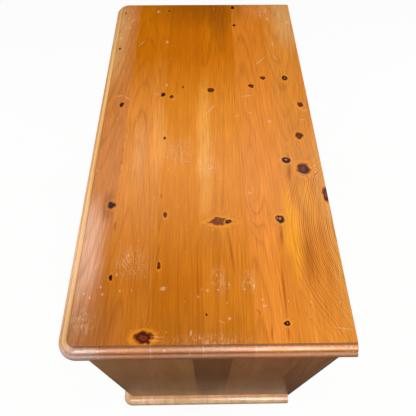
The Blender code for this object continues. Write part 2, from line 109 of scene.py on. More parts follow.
def feed(tree, node, inputs):
    """Fills a node's sockets, by number or name, with values, other sockets or other nodes."""
    for key, value in inputs.items():
        if isinstance(key, int):
            socket = node.inputs[key]
        else:
            socket = next(s for s in node.inputs if s.enabled and s.name == key)
        if isinstance(value, bpy.types.Node):
            value = next(s for s in value.outputs if s.enabled)
        if isinstance(value, bpy.types.NodeSocket):
            tree.links.new(value, socket)
        else:
            socket.default_value = value


def add(tree, kind, inputs=None, **settings):
    """Adds a node, sets its options and feeds its sockets."""
    node = tree.nodes.new(kind)
    for option, value in settings.items():
        setattr(node, option, value)
    feed(tree, node, inputs or {})
    return node


def span(*limits):
    """Limits by socket name: the two values that a range goes between, then what they become."""
    return dict(zip(("From Min", "From Max", "To Min", "To Max"), limits))


def fill(ramp, stops):
    """Sets a colour ramp from (place, colour) pairs, the first of them at its start."""
    marks = ramp.color_ramp.elements
    marks.remove(marks[1])
    for place, colour in stops:
        mark = marks.new(place) if place else marks[0]
        mark.color = colour


def new_group(name, kind, inputs, outputs):
    """Group of nodes with named sockets by type, and what comes in through them."""
    group = bpy.data.node_groups.new(name, kind)
    for in_out, sockets in (("INPUT", inputs), ("OUTPUT", outputs)):
        for socket_name, socket_type in sockets.items():
            group.interface.new_socket(socket_name, in_out=in_out, socket_type="NodeSocket" + socket_type)
    return group, add(group, "NodeGroupInput").outputs


def new_material(name):
    """Material made of nodes, and its tree."""
    material = bpy.data.materials.new(name)
    material.use_nodes = True
    return material, material.node_tree


# The figure is solid: it runs through the board, so faces, edges and end grain agree.
figure, log = new_group(
    "Pine figure", "ShaderNodeTree",
    {"Cut": "Vector", "Seed": "Vector", "Board width": "Float", "Knot share": "Float", "Push": "Float"},
    {part: "Float" for part in ("Ring", "Fibre", "Streak", "Board", "Seam", "Knot")},
)
along, over, through = add(figure, "ShaderNodeSeparateXYZ", {0: log["Cut"]}).outputs
boards = add(figure, "ShaderNodeMath", {0: over, 1: log["Board width"]}, operation="DIVIDE")
number = add(figure, "ShaderNodeMath", {0: boards}, operation="ROUND")
off_middle = add(figure, "ShaderNodeMath", {0: boards, 1: number}, operation="SUBTRACT")
across = add(figure, "ShaderNodeMath", {0: off_middle, 1: log["Board width"]}, operation="MULTIPLY")
off_seam = add(figure, "ShaderNodeMath", {0: off_middle}, operation="ABSOLUTE")
off_seam = add(figure, "ShaderNodeMath", {0: 0.5, 1: off_seam}, operation="SUBTRACT")
seam = add(figure, "ShaderNodeMath", {0: off_seam, 1: log["Board width"]}, operation="MULTIPLY")
numbered = add(figure, "ShaderNodeCombineXYZ", {0: number, 1: number, 2: number})
seed = add(figure, "ShaderNodeVectorMath", {0: log["Seed"], 1: numbered}, operation="ADD")
chance = add(figure, "ShaderNodeTexWhiteNoise", {"Vector": seed})
deep, sideways, sloping = add(figure, "ShaderNodeSeparateColor", {0: chance.outputs["Color"]}).outputs
board = add(figure, "ShaderNodeCombineXYZ", {0: along, 1: across, 2: through})
moved = add(
    figure, "ShaderNodeVectorMath", {0: chance.outputs["Color"], 1: BOARDS_APART, 2: board},
    operation="MULTIPLY_ADD",
)
slow = add(figure, "ShaderNodeVectorMath", {0: moved, 1: WOBBLES_PER_METRE}, operation="MULTIPLY")
wobble = add(figure, "ShaderNodeTexNoise", {"Vector": slow, "Scale": 1.0, "Detail": 2.0})
wobble_side, wobble_depth, _ = add(figure, "ShaderNodeSeparateColor", {0: wobble.outputs["Color"]}).outputs
side_limits = span(0, 1, -HEART_SIDE_SPREAD / 2, HEART_SIDE_SPREAD / 2)
side = add(figure, "ShaderNodeMapRange", {"Value": sideways, **side_limits})
side = add(figure, "ShaderNodeMath", {0: across, 1: side}, operation="ADD")
side = add(figure, "ShaderNodeMath", {0: wobble_side, 1: RING_WOBBLE, 2: side}, operation="MULTIPLY_ADD")
depth_inputs = {0: deep, 1: HEART_DEPTH_SPREAD, 2: HEART_DEPTH}
depth = add(figure, "ShaderNodeMath", depth_inputs, operation="MULTIPLY_ADD")
depth = add(figure, "ShaderNodeMath", {0: depth, 1: through}, operation="ADD")
slope = add(figure, "ShaderNodeMapRange", {"Value": sloping, **span(0, 1, -HEART_SLOPE / 2, HEART_SLOPE / 2)})
depth = add(figure, "ShaderNodeMath", {0: along, 1: slope, 2: depth}, operation="MULTIPLY_ADD")
depth = add(figure, "ShaderNodeMath", {0: wobble_depth, 1: RING_WOBBLE, 2: depth}, operation="MULTIPLY_ADD")
from_heart = add(figure, "ShaderNodeCombineXYZ", {0: 0.0, 1: side, 2: depth})
radius = add(figure, "ShaderNodeVectorMath", {0: from_heart}, operation="LENGTH")
branches = add(
    figure, "ShaderNodeTexVoronoi", {"Vector": moved, "Scale": 1 / KNOT_SPACING}, voronoi_dimensions="2D"
)
girth, luck, _ = add(figure, "ShaderNodeSeparateColor", {0: branches.outputs["Color"]}).outputs
branch_radius = add(figure, "ShaderNodeMapRange", {"Value": girth, **span(0, 1, KNOT_LEAST, KNOT_MOST)})
off_branch = add(figure, "ShaderNodeMath", {0: branches, 1: KNOT_SPACING}, operation="MULTIPLY")
knot = add(figure, "ShaderNodeMath", {0: off_branch, 1: branch_radius}, operation="DIVIDE")
absent = add(figure, "ShaderNodeMath", {0: luck, 1: log["Knot share"]}, operation="GREATER_THAN")
knot = add(figure, "ShaderNodeMath", {0: absent, 1: NO_KNOT, 2: knot}, operation="MULTIPLY_ADD")
pushed = add(
    figure, "ShaderNodeMapRange", {"Value": knot, **span(*KNOT_BEND)}, interpolation_type="SMOOTHSTEP"
)
pushed = add(figure, "ShaderNodeMath", {0: pushed, 1: log["Push"]}, operation="ADD")
radius = add(figure, "ShaderNodeMath", {0: radius, 1: pushed}, operation="ADD")
years = add(figure, "ShaderNodeMath", {0: radius, 1: RING_WIDTH}, operation="DIVIDE")
year = add(figure, "ShaderNodeMath", {0: years}, operation="FLOOR")
season = add(figure, "ShaderNodeMath", {0: years}, operation="FRACT")
late_wood = add(figure, "ShaderNodeValToRGB", {"Fac": season})
fill(late_wood, [(share, (1, 1, 1, darkness)) for share, darkness in SEASONS])
year_seed = add(figure, "ShaderNodeMath", {0: number, 1: YEARS_APART, 2: year}, operation="MULTIPLY_ADD")
good_year = add(figure, "ShaderNodeTexWhiteNoise", {"W": year_seed}, noise_dimensions="1D")
good_year = add(figure, "ShaderNodeMapRange", {"Value": good_year, **span(0, 1, LEAN_YEAR, 1)})
ring = add(figure, "ShaderNodeMath", {0: late_wood.outputs["Alpha"], 1: good_year}, operation="MULTIPLY")
fibre_size = (FIBRE_LENGTH, FIBRE_WIDTH, FIBRE_WIDTH)
fibre = add(figure, "ShaderNodeVectorMath", {0: moved, 1: fibre_size}, operation="DIVIDE")
fibre = add(figure, "ShaderNodeTexNoise", {"Vector": fibre, "Scale": 1.0, "Detail": 2.0})
streak_size = (STREAK_LENGTH, STREAK_WIDTH, STREAK_WIDTH)
streak = add(figure, "ShaderNodeVectorMath", {0: moved, 1: streak_size}, operation="DIVIDE")
streak = add(figure, "ShaderNodeTexNoise", {"Vector": streak, "Scale": 1.0, "Detail": 3.0})
add(
    figure, "NodeGroupOutput",
    {"Ring": ring, "Fibre": fibre, "Streak": streak, "Board": chance, "Seam": seam, "Knot": knot},
)


def sawn(tree, axes, board_width, knot_share, push=0.0):
    """Figure of a piece whose grain runs along, across and through it on the given axes."""
    place = add(tree, "ShaderNodeTexCoord").outputs["Object"]
    heart = add(tree, "ShaderNodeAttribute", attribute_name="heart").outputs["Vector"]
    off_heart = add(tree, "ShaderNodeVectorMath", {0: place, 1: heart}, operation="SUBTRACT")
    sides = add(tree, "ShaderNodeSeparateXYZ", {0: off_heart}).outputs
    cut = add(tree, "ShaderNodeCombineXYZ", {i: sides[axis] for i, axis in enumerate(axes)})
    return add(
        tree, "ShaderNodeGroup",
        {"Cut": cut, "Seed": heart, "Board width": board_width, "Knot share": knot_share, "Push": push},
        node_tree=figure,
    )


# Honey lacquer over knotty pine: warm orange, satin, paler where the arrises are rubbed. A knot goes
# from its middle, at 0, past its rim, at 1, to the end of the stain round it: radii, colour, cover.
HONEY = {
    "wood": "C87C30", "late": "C69A68", "worn": "E3B57C", "grime_and_shade": "5A3216",
    "lines": 0.6, "roughness": 0.24, "specular": 0.45,
    "knot": (
        (0.0, "5A2410", 1.0), (0.5, "6E3014", 1.0), (0.8, "34140A", 1.0), (1.0, "40190C", 0.95),
        (1.12, "8E4816", 0.7), (1.4, "C0701E", 0.4), (2.0, "C87C30", 0.0),
    ),
}
KNOT_STAIN_REACH = 2.0
# Light on the wood by part of its figure: two values of that part, and the light at each.
FIGURE_LIGHT = {"Streak": (0.25, 0.75, 0.84, 1.12), "Fibre": (0.3, 0.7, 0.93, 1.05)}
BOARD_LIGHT = (0, 1, 0.86, 1.08)
GLUE_LINE = (0.9 * MM, 0.1 * MM, 0, 0.5)
JOINT_WIDTH = 1 * MM
# Rubbed wood is patchy along the streaks, soiled wood is matt, and handling polishes.
WORN_STREAKS = (0.35, 0.6, 0.25, 0.9)
GRIME_AND_SHADE_COVER = 0.85
GRIME_DULLING = 0.45
HANDLED_POLISH = 0.22
GLOSS_STREAKS = (0.3, 0.7)
SMOOTHER = 0.05
ROUGHER = 0.07
FINISH_IOR = 1.5
FIBRE_RELIEF = 0.2 * MM
RELIEF_STRENGTH = 0.2


def shaded(tree, wood, colour, lights):
    """Colour of the wood made lighter and darker by parts of its figure."""
    light = 1.0
    for part, limits in lights.items():
        part_light = add(tree, "ShaderNodeMapRange", {"Value": wood.outputs[part], **span(*limits)})
        light = add(tree, "ShaderNodeMath", {0: light, 1: part_light}, operation="MULTIPLY")
    return add(tree, "ShaderNodeHueSaturation", {"Value": light, "Color": colour})


def grown_in(tree, colour, distance, rings):
    """Lays a knot over the wood by the distance from its middle, where 1 is its rim."""
    share = add(tree, "ShaderNodeMath", {0: distance, 1: 1 / KNOT_STAIN_REACH}, operation="MULTIPLY")
    shades = add(tree, "ShaderNodeValToRGB", {"Fac": share})
    fill(shades, [(place / KNOT_STAIN_REACH, linear(shade)[:3] + [cover]) for place, shade, cover in rings])
    return add(
        tree, "ShaderNodeMix",
        {"Factor": shades.outputs["Alpha"], "A": colour, "B": shades.outputs["Color"]}, data_type="RGBA",
    )


def finished(material, wood, colour, finish):
    """Rubs and soils the arrises of the coloured wood, then lays its finish over it; on the top's moulding
    the soiled colour is also painted shade in the hollows and the rubbed colour of the ovolo a painted
    highlight.
    """
    tree = material.node_tree
    streak = wood.outputs["Streak"]
    wear_and_painted_light = add(tree, "ShaderNodeAttribute", attribute_name="worn").outputs["Fac"]
    patchy = add(tree, "ShaderNodeMapRange", {"Value": streak, **span(*WORN_STREAKS)})
    worn = add(tree, "ShaderNodeMath", {0: wear_and_painted_light, 1: patchy}, operation="MULTIPLY", use_clamp=True)
    soiled_and_shaded = add(tree, "ShaderNodeMath", {0: wear_and_painted_light, 1: -GRIME_AND_SHADE_COVER}, operation="MULTIPLY", use_clamp=True)
    for cover, shade in ((worn, finish["worn"]), (soiled_and_shaded, finish["grime_and_shade"])):
        colour = add(
            tree, "ShaderNodeMix", {"Factor": cover, "A": colour, "B": linear(shade)}, data_type="RGBA"
        )
    gloss_limits = span(*GLOSS_STREAKS, finish["roughness"] - SMOOTHER, finish["roughness"] + ROUGHER)
    gloss = add(tree, "ShaderNodeMapRange", {"Value": streak, **gloss_limits})
    polish = add(
        tree, "ShaderNodeMath", {0: wear_and_painted_light, 1: HANDLED_POLISH}, operation="MULTIPLY", use_clamp=True
    )
    gloss = add(tree, "ShaderNodeMath", {0: gloss, 1: polish}, operation="SUBTRACT")
    gloss = add(tree, "ShaderNodeMath", {0: soiled_and_shaded, 1: GRIME_DULLING, 2: gloss}, operation="MULTIPLY_ADD")
    bump = add(
        tree, "ShaderNodeBump",
        {"Strength": RELIEF_STRENGTH, "Distance": FIBRE_RELIEF, "Height": wood.outputs["Fibre"]},
    )
    surface = {"Base Color": colour, "Roughness": gloss, "Normal": bump}
    surface.update({"IOR": FINISH_IOR, "Specular IOR Level": finish["specular"]})
    feed(tree, tree.nodes["Principled BSDF"], surface)
    return material


def laid_up(tree, low, high, first_joint, width, boards):
    """Tone of boards joined edge to edge from front to back, with the share of stain on each as Alpha."""
    place = add(tree, "ShaderNodeTexCoord").outputs["Object"]
    across = add(tree, "ShaderNodeSeparateXYZ", {0: place}).outputs["Y"]
    share = add(tree, "ShaderNodeMapRange", {"Value": across, **span(low, high)})
    ramp = add(tree, "ShaderNodeValToRGB", {"Fac": share})
    stops = []
    for number, (hex_colour, stained) in enumerate(boards):
        tone = linear(hex_colour)[:3] + [stained]
        joint = first_joint + number * width
        start = joint - width + JOINT_WIDTH / 2 if number else low
        stops.append(((start - low) / (high - low), tone))
        if joint < high:
            stops.append(((joint - JOINT_WIDTH / 2 - low) / (high - low), tone))
    fill(ramp, stops)
    return ramp


def pine(name, axes, finish, board_width=1.0, knot_share=0.4, tones=None):
    """Pine in one finish, with its grain on the given axes; tones colour the boards one by one."""
    material, tree = new_material(name)
    wood = sawn(tree, axes, board_width, knot_share)
    ground = laid_up(tree, *tones) if tones else linear(finish["wood"])
    lights = FIGURE_LIGHT if tones else {**FIGURE_LIGHT, "Board": BOARD_LIGHT}
    colour = shaded(tree, wood, ground, lights)
    lines = add(tree, "ShaderNodeMath", {0: wood.outputs["Ring"], 1: finish["lines"]}, operation="MULTIPLY")
    glue = add(tree, "ShaderNodeMapRange", {"Value": wood.outputs["Seam"], **span(*GLUE_LINE)})
    for cover in (lines, glue):
        colour = add(
            tree, "ShaderNodeMix", {"Factor": cover, "A": colour, "B": linear(finish["late"])},
            data_type="RGBA", blend_type="MULTIPLY",
        )
    colour = grown_in(tree, colour, wood.outputs["Knot"], finish["knot"])
    return finished(material, wood, colour, finish)


def circle(shape, middle, radius, steps):
    """New points round a level circle, or the one at its middle where it has no radius."""
    points = []
    for i in range(steps if radius else 1):
        angle = 2 * math.pi * i / steps
        outward = Vector((math.cos(angle), math.sin(angle), 0))
        points.append(shape.verts.new(Vector(middle) + radius * outward))
    return points


def turned(profile, steps):
    """Solid of revolution about Z from (radius, height, wear) points that start and end on the axis."""
    shape = bmesh.new()
    worn = shape.faces.layers.float.new("worn")
    rings = [circle(shape, (0, 0, height), ring_radius, steps) for ring_radius, height, _ in profile]
    for row in range(len(rings) - 1):
        low, high = rings[row], rings[row + 1]
        for i in range(steps):
            j = (i + 1) % steps
            corners = [low[i % len(low)], low[j % len(low)], high[j % len(high)], high[i % len(high)]]
            face = shape.faces.new(list(dict.fromkeys(corners)))
            face.smooth = True
            face[worn] = (profile[row][2] + profile[row + 1][2]) / 2
    bmesh.ops.recalc_face_normals(shape, faces=shape.faces)
    return shape


def set_out(name, shape, material):
    """Object with a mesh of its own from a finished shape, in one material."""
    mesh = bpy.data.meshes.new(name)
    shape.to_mesh(mesh)
    shape.free()
    mesh.materials.append(material)
    piece = bpy.data.objects.new(name, mesh)
    scene.collection.objects.link(piece)
    return piece


def fit(node, shape, material, heart):
    """Puts a finished shape in the place of its solid, on the same body and in the given material."""
    piece = set_out("finished_" + node, shape, material)
    piece.data.set_sharp_from_angle(angle=SHARP_ANGLE)
    hearts = piece.data.attributes.new("heart", "FLOAT_VECTOR", "POINT")
    hearts.data.foreach_set("vector", list(heart) * len(piece.data.vertices))
    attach(piece, body_of[node])
    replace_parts(piece, node)


foot_pine = pine("Honey lacquered pine, turned feet", "ZXY", HONEY, knot_share=0.25)
for foot in FEET:
    low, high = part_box(foot)
    bun_radius = (high.x - low.x) / 2
    sole_radius = bun_radius - FOOT_ROUNDING
    collar_radius = sole_radius + FOOT_COLLAR_RIM
    bun_height = FOOT_HEIGHT - FOOT_COLLAR_HEIGHT
    half_bun = bun_height / 2 / math.sqrt(1 - (sole_radius / bun_radius) ** 2)
    profile = [(0, 0, 0), (sole_radius - FOOT_EASE, 0, 0)]
    for step in range(BUN_STEPS + 1):
        height = bun_height * step / BUN_STEPS
        bulge = math.sqrt(1 - ((height - bun_height / 2) / half_bun) ** 2)
        profile.append((bun_radius * bulge, max(height, FOOT_EASE / 4), BUN_RUB * bulge ** 8))
    profile += [
        (collar_radius - FOOT_EASE, bun_height + FOOT_EASE / 4, COLLAR_GRIME),
        (collar_radius, bun_height + FOOT_EASE, COLLAR_RUB),
        (collar_radius, FOOT_HEIGHT - FOOT_EASE / 2, COLLAR_TOP_RUB),
        (collar_radius - FOOT_EASE / 2, FOOT_HEIGHT, 0),
        (SPIGOT_DIAMETER / 2, FOOT_HEIGHT, 0),
        (SPIGOT_DIAMETER / 2, high.z, 0),
        (0, high.z, 0),
    ]
    shape = turned(profile, LATHE_STEPS)
    middle = Vector(((low.x + high.x) / 2, (low.y + high.y) / 2, low.z))
    bmesh.ops.translate(shape, verts=shape.verts, vec=middle)
    fit(foot, shape, foot_pine, middle)


# Base board
# One wide board of glued pine, its front and ends rounded over, that the case stands on. It
# projects past the case and the feet are plugged into its underside.
BASE_ROUND_WIDTH = 17 * MM
BASE_SQUARE_EDGE = 7 * MM
BASE_ARRIS = 1.5 * MM
BASE_INNER_CORNER = 5 * MM
BASE_BOARD_WIDTH = 92 * MM
# Rubbing of the rounded edge, which with the pale rubbed colour also paints its highlights.
BASE_RUB_AND_HIGHLIGHT = 0.9
BASE_SOLE_RUB = 0.5
SPIGOT_GAP = 0.3 * MM
EDGE_STEP = 7 * MM
CORNER_STEPS = 16
ARC_STEPS = 12
EDGE_WAVER = 0.25 * MM
WAVER_LENGTH = 35 * MM
# The ends are spared some of the wear of the front, less so near the corner.
BASE_END_SPARED = 0.3
CORNER_RUBBED = 110 * MM
CORNER_RUB = 0.3


def quarter_round(start, end, crest_wear, edge_wear=0.0):
    """Convex quarter round from an upright start to a level end, as (inset, height, wear) points."""
    points = []
    for step in range(1, ARC_STEPS + 1):
        angle = math.pi / 2 * step / ARC_STEPS
        inset = start[0] + (end[0] - start[0]) * (1 - math.cos(angle))
        height = start[1] + (end[1] - start[1]) * math.sin(angle)
        points.append((inset, height, edge_wear + (crest_wear - edge_wear) * math.sin(2 * angle)))
    return points


def rounded_corner(centre_x, centre_y, radius, start):
    """Points a quarter of the way round a corner, each with the angle that it faces."""
    turns = [start + math.pi / 2 * step / CORNER_STEPS for step in range(CORNER_STEPS)]
    return [(centre_x + radius * math.cos(turn), centre_y + radius * math.sin(turn), turn) for turn in turns]


def moulded_board(profile, low, high, inner_corner, end_spared):
    """Board moulded along its front and ends by (inset, height, wear) points; the ends are worn less."""
    shape = bmesh.new()
    worn = shape.faces.layers.float.new("worn")
    reach = max(point[0] for point in profile)
    inner_x = high.x - reach
    inner_y = low.y + reach
    straight_x = inner_x - inner_corner
    straight_y = inner_y + inner_corner
    side_steps = round((high.y - straight_y) / EDGE_STEP)
    front_steps = round(2 * straight_x / EDGE_STEP)
    ends = [high.y + (straight_y - high.y) * step / side_steps for step in range(side_steps)]
    fronts = [straight_x * (2 * step / front_steps - 1) for step in range(front_steps)]
    runs = [(-inner_x, y, math.pi) for y in ends]
    runs += rounded_corner(-straight_x, straight_y, inner_corner, math.pi)
    runs += [(x, inner_y, 1.5 * math.pi) for x in fronts]
    runs += rounded_corner(straight_x, straight_y, inner_corner, 1.5 * math.pi)
    runs += [(inner_x, y, 2 * math.pi) for y in [straight_y] + ends[::-1]]
    rows = []
    for inset, height, _ in profile:
        row = []
        for x, y, angle in runs:
            outward = Vector((math.cos(angle), math.sin(angle), 0))
            place = Vector((x, y, low.z + height)) + outward * (reach - inset)
            if 0 < height < high.z - low.z and inset < reach:
                place -= outward * EDGE_WAVER * (noise.noise(place / WAVER_LENGTH) + 1) / 2
            row.append(shape.verts.new(place))
        rows.append(row)
    for index in range(len(rows) - 1):
        lower, upper = rows[index], rows[index + 1]
        for i, (_, y, angle) in enumerate(runs):
            j = (i + 1) % len(runs)
            face = shape.faces.new((lower[i], lower[j], upper[j], upper[i]))
            face.smooth = True
            wear = (profile[index][2] + profile[index + 1][2]) / 2 if j else 0
            if wear > 0:
                by_corner = 1 - min(1, max(0, y - inner_y) / CORNER_RUBBED)
                wear -= end_spared * math.cos(angle) ** 4 * (1 - CORNER_RUB * by_corner)
            face[worn] = wear
    shape.faces.new(rows[-1])
    return shape, rows[0]


# The base board's pale wood and paler rubbed colour are partly painted light: they stand in for the light and
# the highlights that fall on its rounded edge.
base_finish = {**HONEY, "wood": "E0AC78", "worn": "F2D4AE", "lines": 0.3, "specular": 0.28}
base_pine = pine("Honey lacquered pine, base board", "XYZ", base_finish, BASE_BOARD_WIDTH, knot_share=0.3)
low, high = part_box("base_board")
profile = [(BASE_ARRIS, 0, BASE_SOLE_RUB), (BASE_ARRIS / 3, BASE_ARRIS / 3, BASE_RUB_AND_HIGHLIGHT)]
profile += [(0, BASE_ARRIS, BASE_RUB_AND_HIGHLIGHT), (0, BASE_SQUARE_EDGE, BASE_RUB_AND_HIGHLIGHT)]
profile += quarter_round((0, BASE_SQUARE_EDGE), (BASE_ROUND_WIDTH, high.z - low.z), BASE_RUB_AND_HIGHLIGHT)
shape, sole = moulded_board(profile, low, high, BASE_INNER_CORNER, BASE_END_SPARED)
outlines = [sole]
for foot in FEET:
    foot_low, foot_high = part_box(foot)
    hole_x, hole_y, _ = (foot_low + foot_high) / 2
    hole_radius = SPIGOT_DIAMETER / 2 + SPIGOT_GAP
    mouth = circle(shape, (hole_x, hole_y, low.z), hole_radius, LATHE_STEPS // 2)
    bottom = circle(shape, (hole_x, hole_y, foot_high.z + SPIGOT_GAP), hole_radius, LATHE_STEPS // 2)
    for i in range(len(mouth)):
        shape.faces.new((mouth[i - 1], mouth[i], bottom[i], bottom[i - 1])).smooth = True
    shape.faces.new(bottom)
    outlines.append(mouth)
sole_edges = [shape.edges.get((line[i], line[i - 1])) for line in outlines for i in range(len(line))]
bmesh.ops.triangle_fill(shape, edges=sole_edges, use_beauty=True)
bmesh.ops.recalc_face_normals(shape, faces=shape.faces)
fit("base_board", shape, base_pine, (0, low.y, low.z))


# End panels
# Boards about 70 mm wide glued edge to edge, grain upright, lacquered. The rails and runners
# are housed in their inner faces.
END_BOARD_WIDTH = 70 * MM
END_SEAM_Y = -21 * MM
END_EASE = 1.0 * MM
END_KNOT_SHARE = 0.06
# Tone of each board, from front to back.
END_BOARDS = ("BA8455", "B47C4E", "B67E4D", "8C5A34", "AE7445", "A86F45", "A67048")
# Scratches through the lacquer: millimetres from the middle and up from the floor at both ends.
END_SCRATCHES = (
    (-52, 330, 0, 338), (-40, 342, 8, 347), (-12, 470, 16, 455), (-120, 190, -98, 198), (92, 380, 128, 372),
)
END_BARE = "E0BC94"
END_BARE_COVER = 0.5
SCRATCH_WIDTH = 1.2
# A bare mark fades in from just past its rim.
BARE_EDGE = (1.2, 0.4)
EASE_STEPS = 2
EASED_RUB = 0.8
ROUND_STEPS = 5
ROUNDED_RUB = 0.6
FACE_DEPTH = 0.1 * MM
WELD = 0.01 * MM
FLAT_ANGLE = 0.01
SPOT_REACH = 4


def eased(node, ease, front_round=0.0):
    """Copy of a sawn solid with its arrises taken off; those of its front face may be rounded first."""
    shape = bmesh.new()
    shape.from_mesh(frame["nodes"][node].data)
    bmesh.ops.remove_doubles(shape, verts=shape.verts, dist=WELD)
    bmesh.ops.dissolve_limit(shape, angle_limit=FLAT_ANGLE, verts=shape.verts, edges=shape.edges)
    worn = shape.faces.layers.float.new("worn")
    for face in shape.faces:
        face.smooth = False
    cuts = [(ease, EASE_STEPS, EASED_RUB, math.inf)]
    if front_round:
        face_y = min(vert.co.y for vert in shape.verts)
        cuts.insert(0, (front_round, ROUND_STEPS, ROUNDED_RUB, face_y + FACE_DEPTH))
    for offset, steps, rub, back_y in cuts:
        arrises = [e for e in shape.edges if e.is_convex and e.calc_face_angle(0) > SHARP_ANGLE]
        arrises = [e for e in arrises if max(vert.co.y for vert in e.verts) < back_y]
        cut_faces = bmesh.ops.bevel(
            shape, geom=arrises, offset=offset, offset_type="OFFSET", segments=steps, profile=0.5,
            affect="EDGES", clamp_overlap=True,
        )["faces"]
        for face in cut_faces:
            face.smooth = True
            face[worn] = rub
    return shape


def nearest(tree, place, spots):
    """Distance from the nearest of several spots in millimetres, where 1 is its rim; it grows up to 4."""
    nearness = None
    for x, y, half_x, half_y, *turn in spots:
        spot = add(
            tree, "ShaderNodeMapping",
            {
                "Vector": place, "Location": (x * MM, y * MM, 0), "Rotation": (0, 0, sum(turn)),
                "Scale": (SPOT_REACH * half_x * MM, SPOT_REACH * half_y * MM, 1),
            },
            vector_type="TEXTURE",
        )
        near = add(tree, "ShaderNodeTexGradient", {"Vector": spot}, gradient_type="SPHERICAL").outputs[1]
        if nearness:
            near = add(tree, "ShaderNodeMath", {0: nearness, 1: near}, operation="MAXIMUM").outputs[0]
        nearness = near
    return add(
        tree, "ShaderNodeMath", {0: nearness, 1: -SPOT_REACH, 2: SPOT_REACH}, operation="MULTIPLY_ADD"
    )


def stroke(x0, y0, x1, y1, width):
    """Spot that a straight stroke fills, from both its ends and its width."""
    middle = ((x0 + x1) / 2, (y0 + y1) / 2)
    return *middle, math.dist((x0, y0), (x1, y1)) / 2, width / 2, math.atan2(y1 - y0, x1 - x0)


end_finish = {**HONEY, "lines": 0.4, "roughness": 0.34, "specular": 0.35}
end_low, end_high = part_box("end_panel_right")
end_first_joint = END_SEAM_Y - 2 * END_BOARD_WIDTH
end_boards = [(tone, 0) for tone in END_BOARDS]
end_tones = (end_low.y, end_high.y, end_first_joint, END_BOARD_WIDTH, end_boards)
end_pine = pine(
    "Honey pine gone dull, end panels", "ZYX", end_finish, END_BOARD_WIDTH, END_KNOT_SHARE, end_tones
)
tree = end_pine.node_tree
place = add(tree, "ShaderNodeTexCoord").outputs["Object"]
_, end_y, end_z = add(tree, "ShaderNodeSeparateXYZ", {0: place}).outputs
on_end = add(tree, "ShaderNodeCombineXYZ", {0: end_y, 1: end_z})
off_scratch = nearest(tree, on_end, [stroke(*scratch, SCRATCH_WIDTH) for scratch in END_SCRATCHES])
bare = add(tree, "ShaderNodeMapRange", {"Value": off_scratch, **span(*BARE_EDGE, 0, END_BARE_COVER)})
lacquer = tree.nodes["Principled BSDF"]
sound = lacquer.inputs["Base Color"].links[0].from_socket
colour = add(tree, "ShaderNodeMix", {"Factor": bare, "A": sound, "B": linear(END_BARE)}, data_type="RGBA")
feed(tree, lacquer, {"Base Color": colour})
for node in ("end_panel_left", "end_panel_right"):
    low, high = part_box(node)
    fit(node, eased(node, END_EASE), end_pine, (low.x, END_SEAM_Y + END_BOARD_WIDTH / 2, low.z))


# Rails and upright
# Pine rails housed in the end panels, with a short upright tenoned between the top two. They
# frame the drawers, so their front edges are lacquered with the case.
RAIL_EASE = 0.7 * MM


def box_middle(node):
    """Middle of a solid's box."""
    low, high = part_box(node)
    return (low + high) / 2


front_finish = {**HONEY, "wood": "D2822E", "lines": 0.95, "specular": 0.28}
rail_pine = pine("Honey lacquered pine, rails", "XYZ", front_finish)
for node in ("top_front_rail", "upper_drawer_rail", "lower_drawer_rail"):
    fit(node, eased(node, RAIL_EASE), rail_pine, box_middle(node))
upright_pine = pine("Honey lacquered pine, upright", "ZXY", front_finish)
fit("centre_upright", eased("centre_upright", RAIL_EASE / 2), upright_pine, box_middle("centre_upright"))


# Inside framing
# Planed pine left bare: the rear rail, the runners and guide that the drawers slide on, the
# cleats that hold the top and the stops behind the drawers.
DRAWERS = ("top_left_drawer", "top_right_drawer", "middle_drawer", "bottom_drawer")
# Bare pine is pale straw and matt, a little paler on the arrises, with brown knots.
BARE = {
    "wood": "E2BA88", "late": "CC9C6C", "worn": "E7CFA6", "grime_and_shade": "8A6A48",
    "lines": 0.7, "roughness": 0.62, "specular": 0.25,
    "knot": (
        (0.0, "7E4E2A", 1.0), (0.55, "96663A", 1.0), (0.85, "5E3A22", 1.0), (1.0, "6E4628", 0.85),
        (1.15, "B08454", 0.5), (1.6, "CCA26E", 0.25), (2.0, "E2BA88", 0.0),
    ),
}
INSIDE_EASE = 0.5 * MM

bare_along_x = pine("Bare planed pine, grain along the case", "XYZ", BARE)
for node in ("top_rear_rail", *(drawer + "_stop" for drawer in DRAWERS)):
    fit(node, eased(node, INSIDE_EASE), bare_along_x, box_middle(node))
bare_along_y = pine("Bare planed pine, grain front to back", "YXZ", BARE)
for node in (
    "upper_runner_left", "upper_runner_centre", "upper_runner_right", "lower_runner_left",
    "lower_runner_right", "centre_guide", "top_cleat_left", "top_cleat_centre", "top_cleat_right",
):
    fit(node, eased(node, INSIDE_EASE), bare_along_y, box_middle(node))


# Back panel
# Thin pine-faced panel laid over the back of the case and pinned along its edges, which were stained
# when the ends were.
BACK_BOARD_WIDTH = 300 * MM
BACK_EASE = 0.4 * MM
BACK_EDGE_STAIN = -1.1

back_finish = {**BARE, "grime_and_shade": "5E3A20"}
back_pine = pine("Bare pine-faced panel", "ZXY", back_finish, BACK_BOARD_WIDTH, knot_share=0.25)
shape = eased("back_panel", BACK_EASE)
for face in shape.faces:
    if abs(face.normal.x) > 0.5:
        face[shape.faces.layers.float["worn"]] = BACK_EDGE_STAIN
fit("back_panel", shape, back_pine, box_middle("back_panel"))


# Panel pins
# Flat-headed pins of zinc-plated steel, driven through the back panel near its edges into the ends of
# the case, the rear rail and the base board.
PIN_SPACING = 95 * MM
PIN_INSET = 10 * MM
PIN_HEAD_DIAMETER = 3.2 * MM
PIN_HEAD_HEIGHT = 0.5 * MM
PIN_HEAD_PROUD = 0.3 * MM
PIN_SHANK_DIAMETER = 1.4 * MM
PIN_LENGTH = 15 * MM
PIN_CROWN_SHARE = 0.8
PIN_ROOTED_SHARE = 0.98
PIN_SIDES = 12
STEEL_SHARP_ANGLE = math.radians(30)
ZINC_BLOOM = 2 * MM
ZINC_ROUGHNESS = (0.30, 0.52)

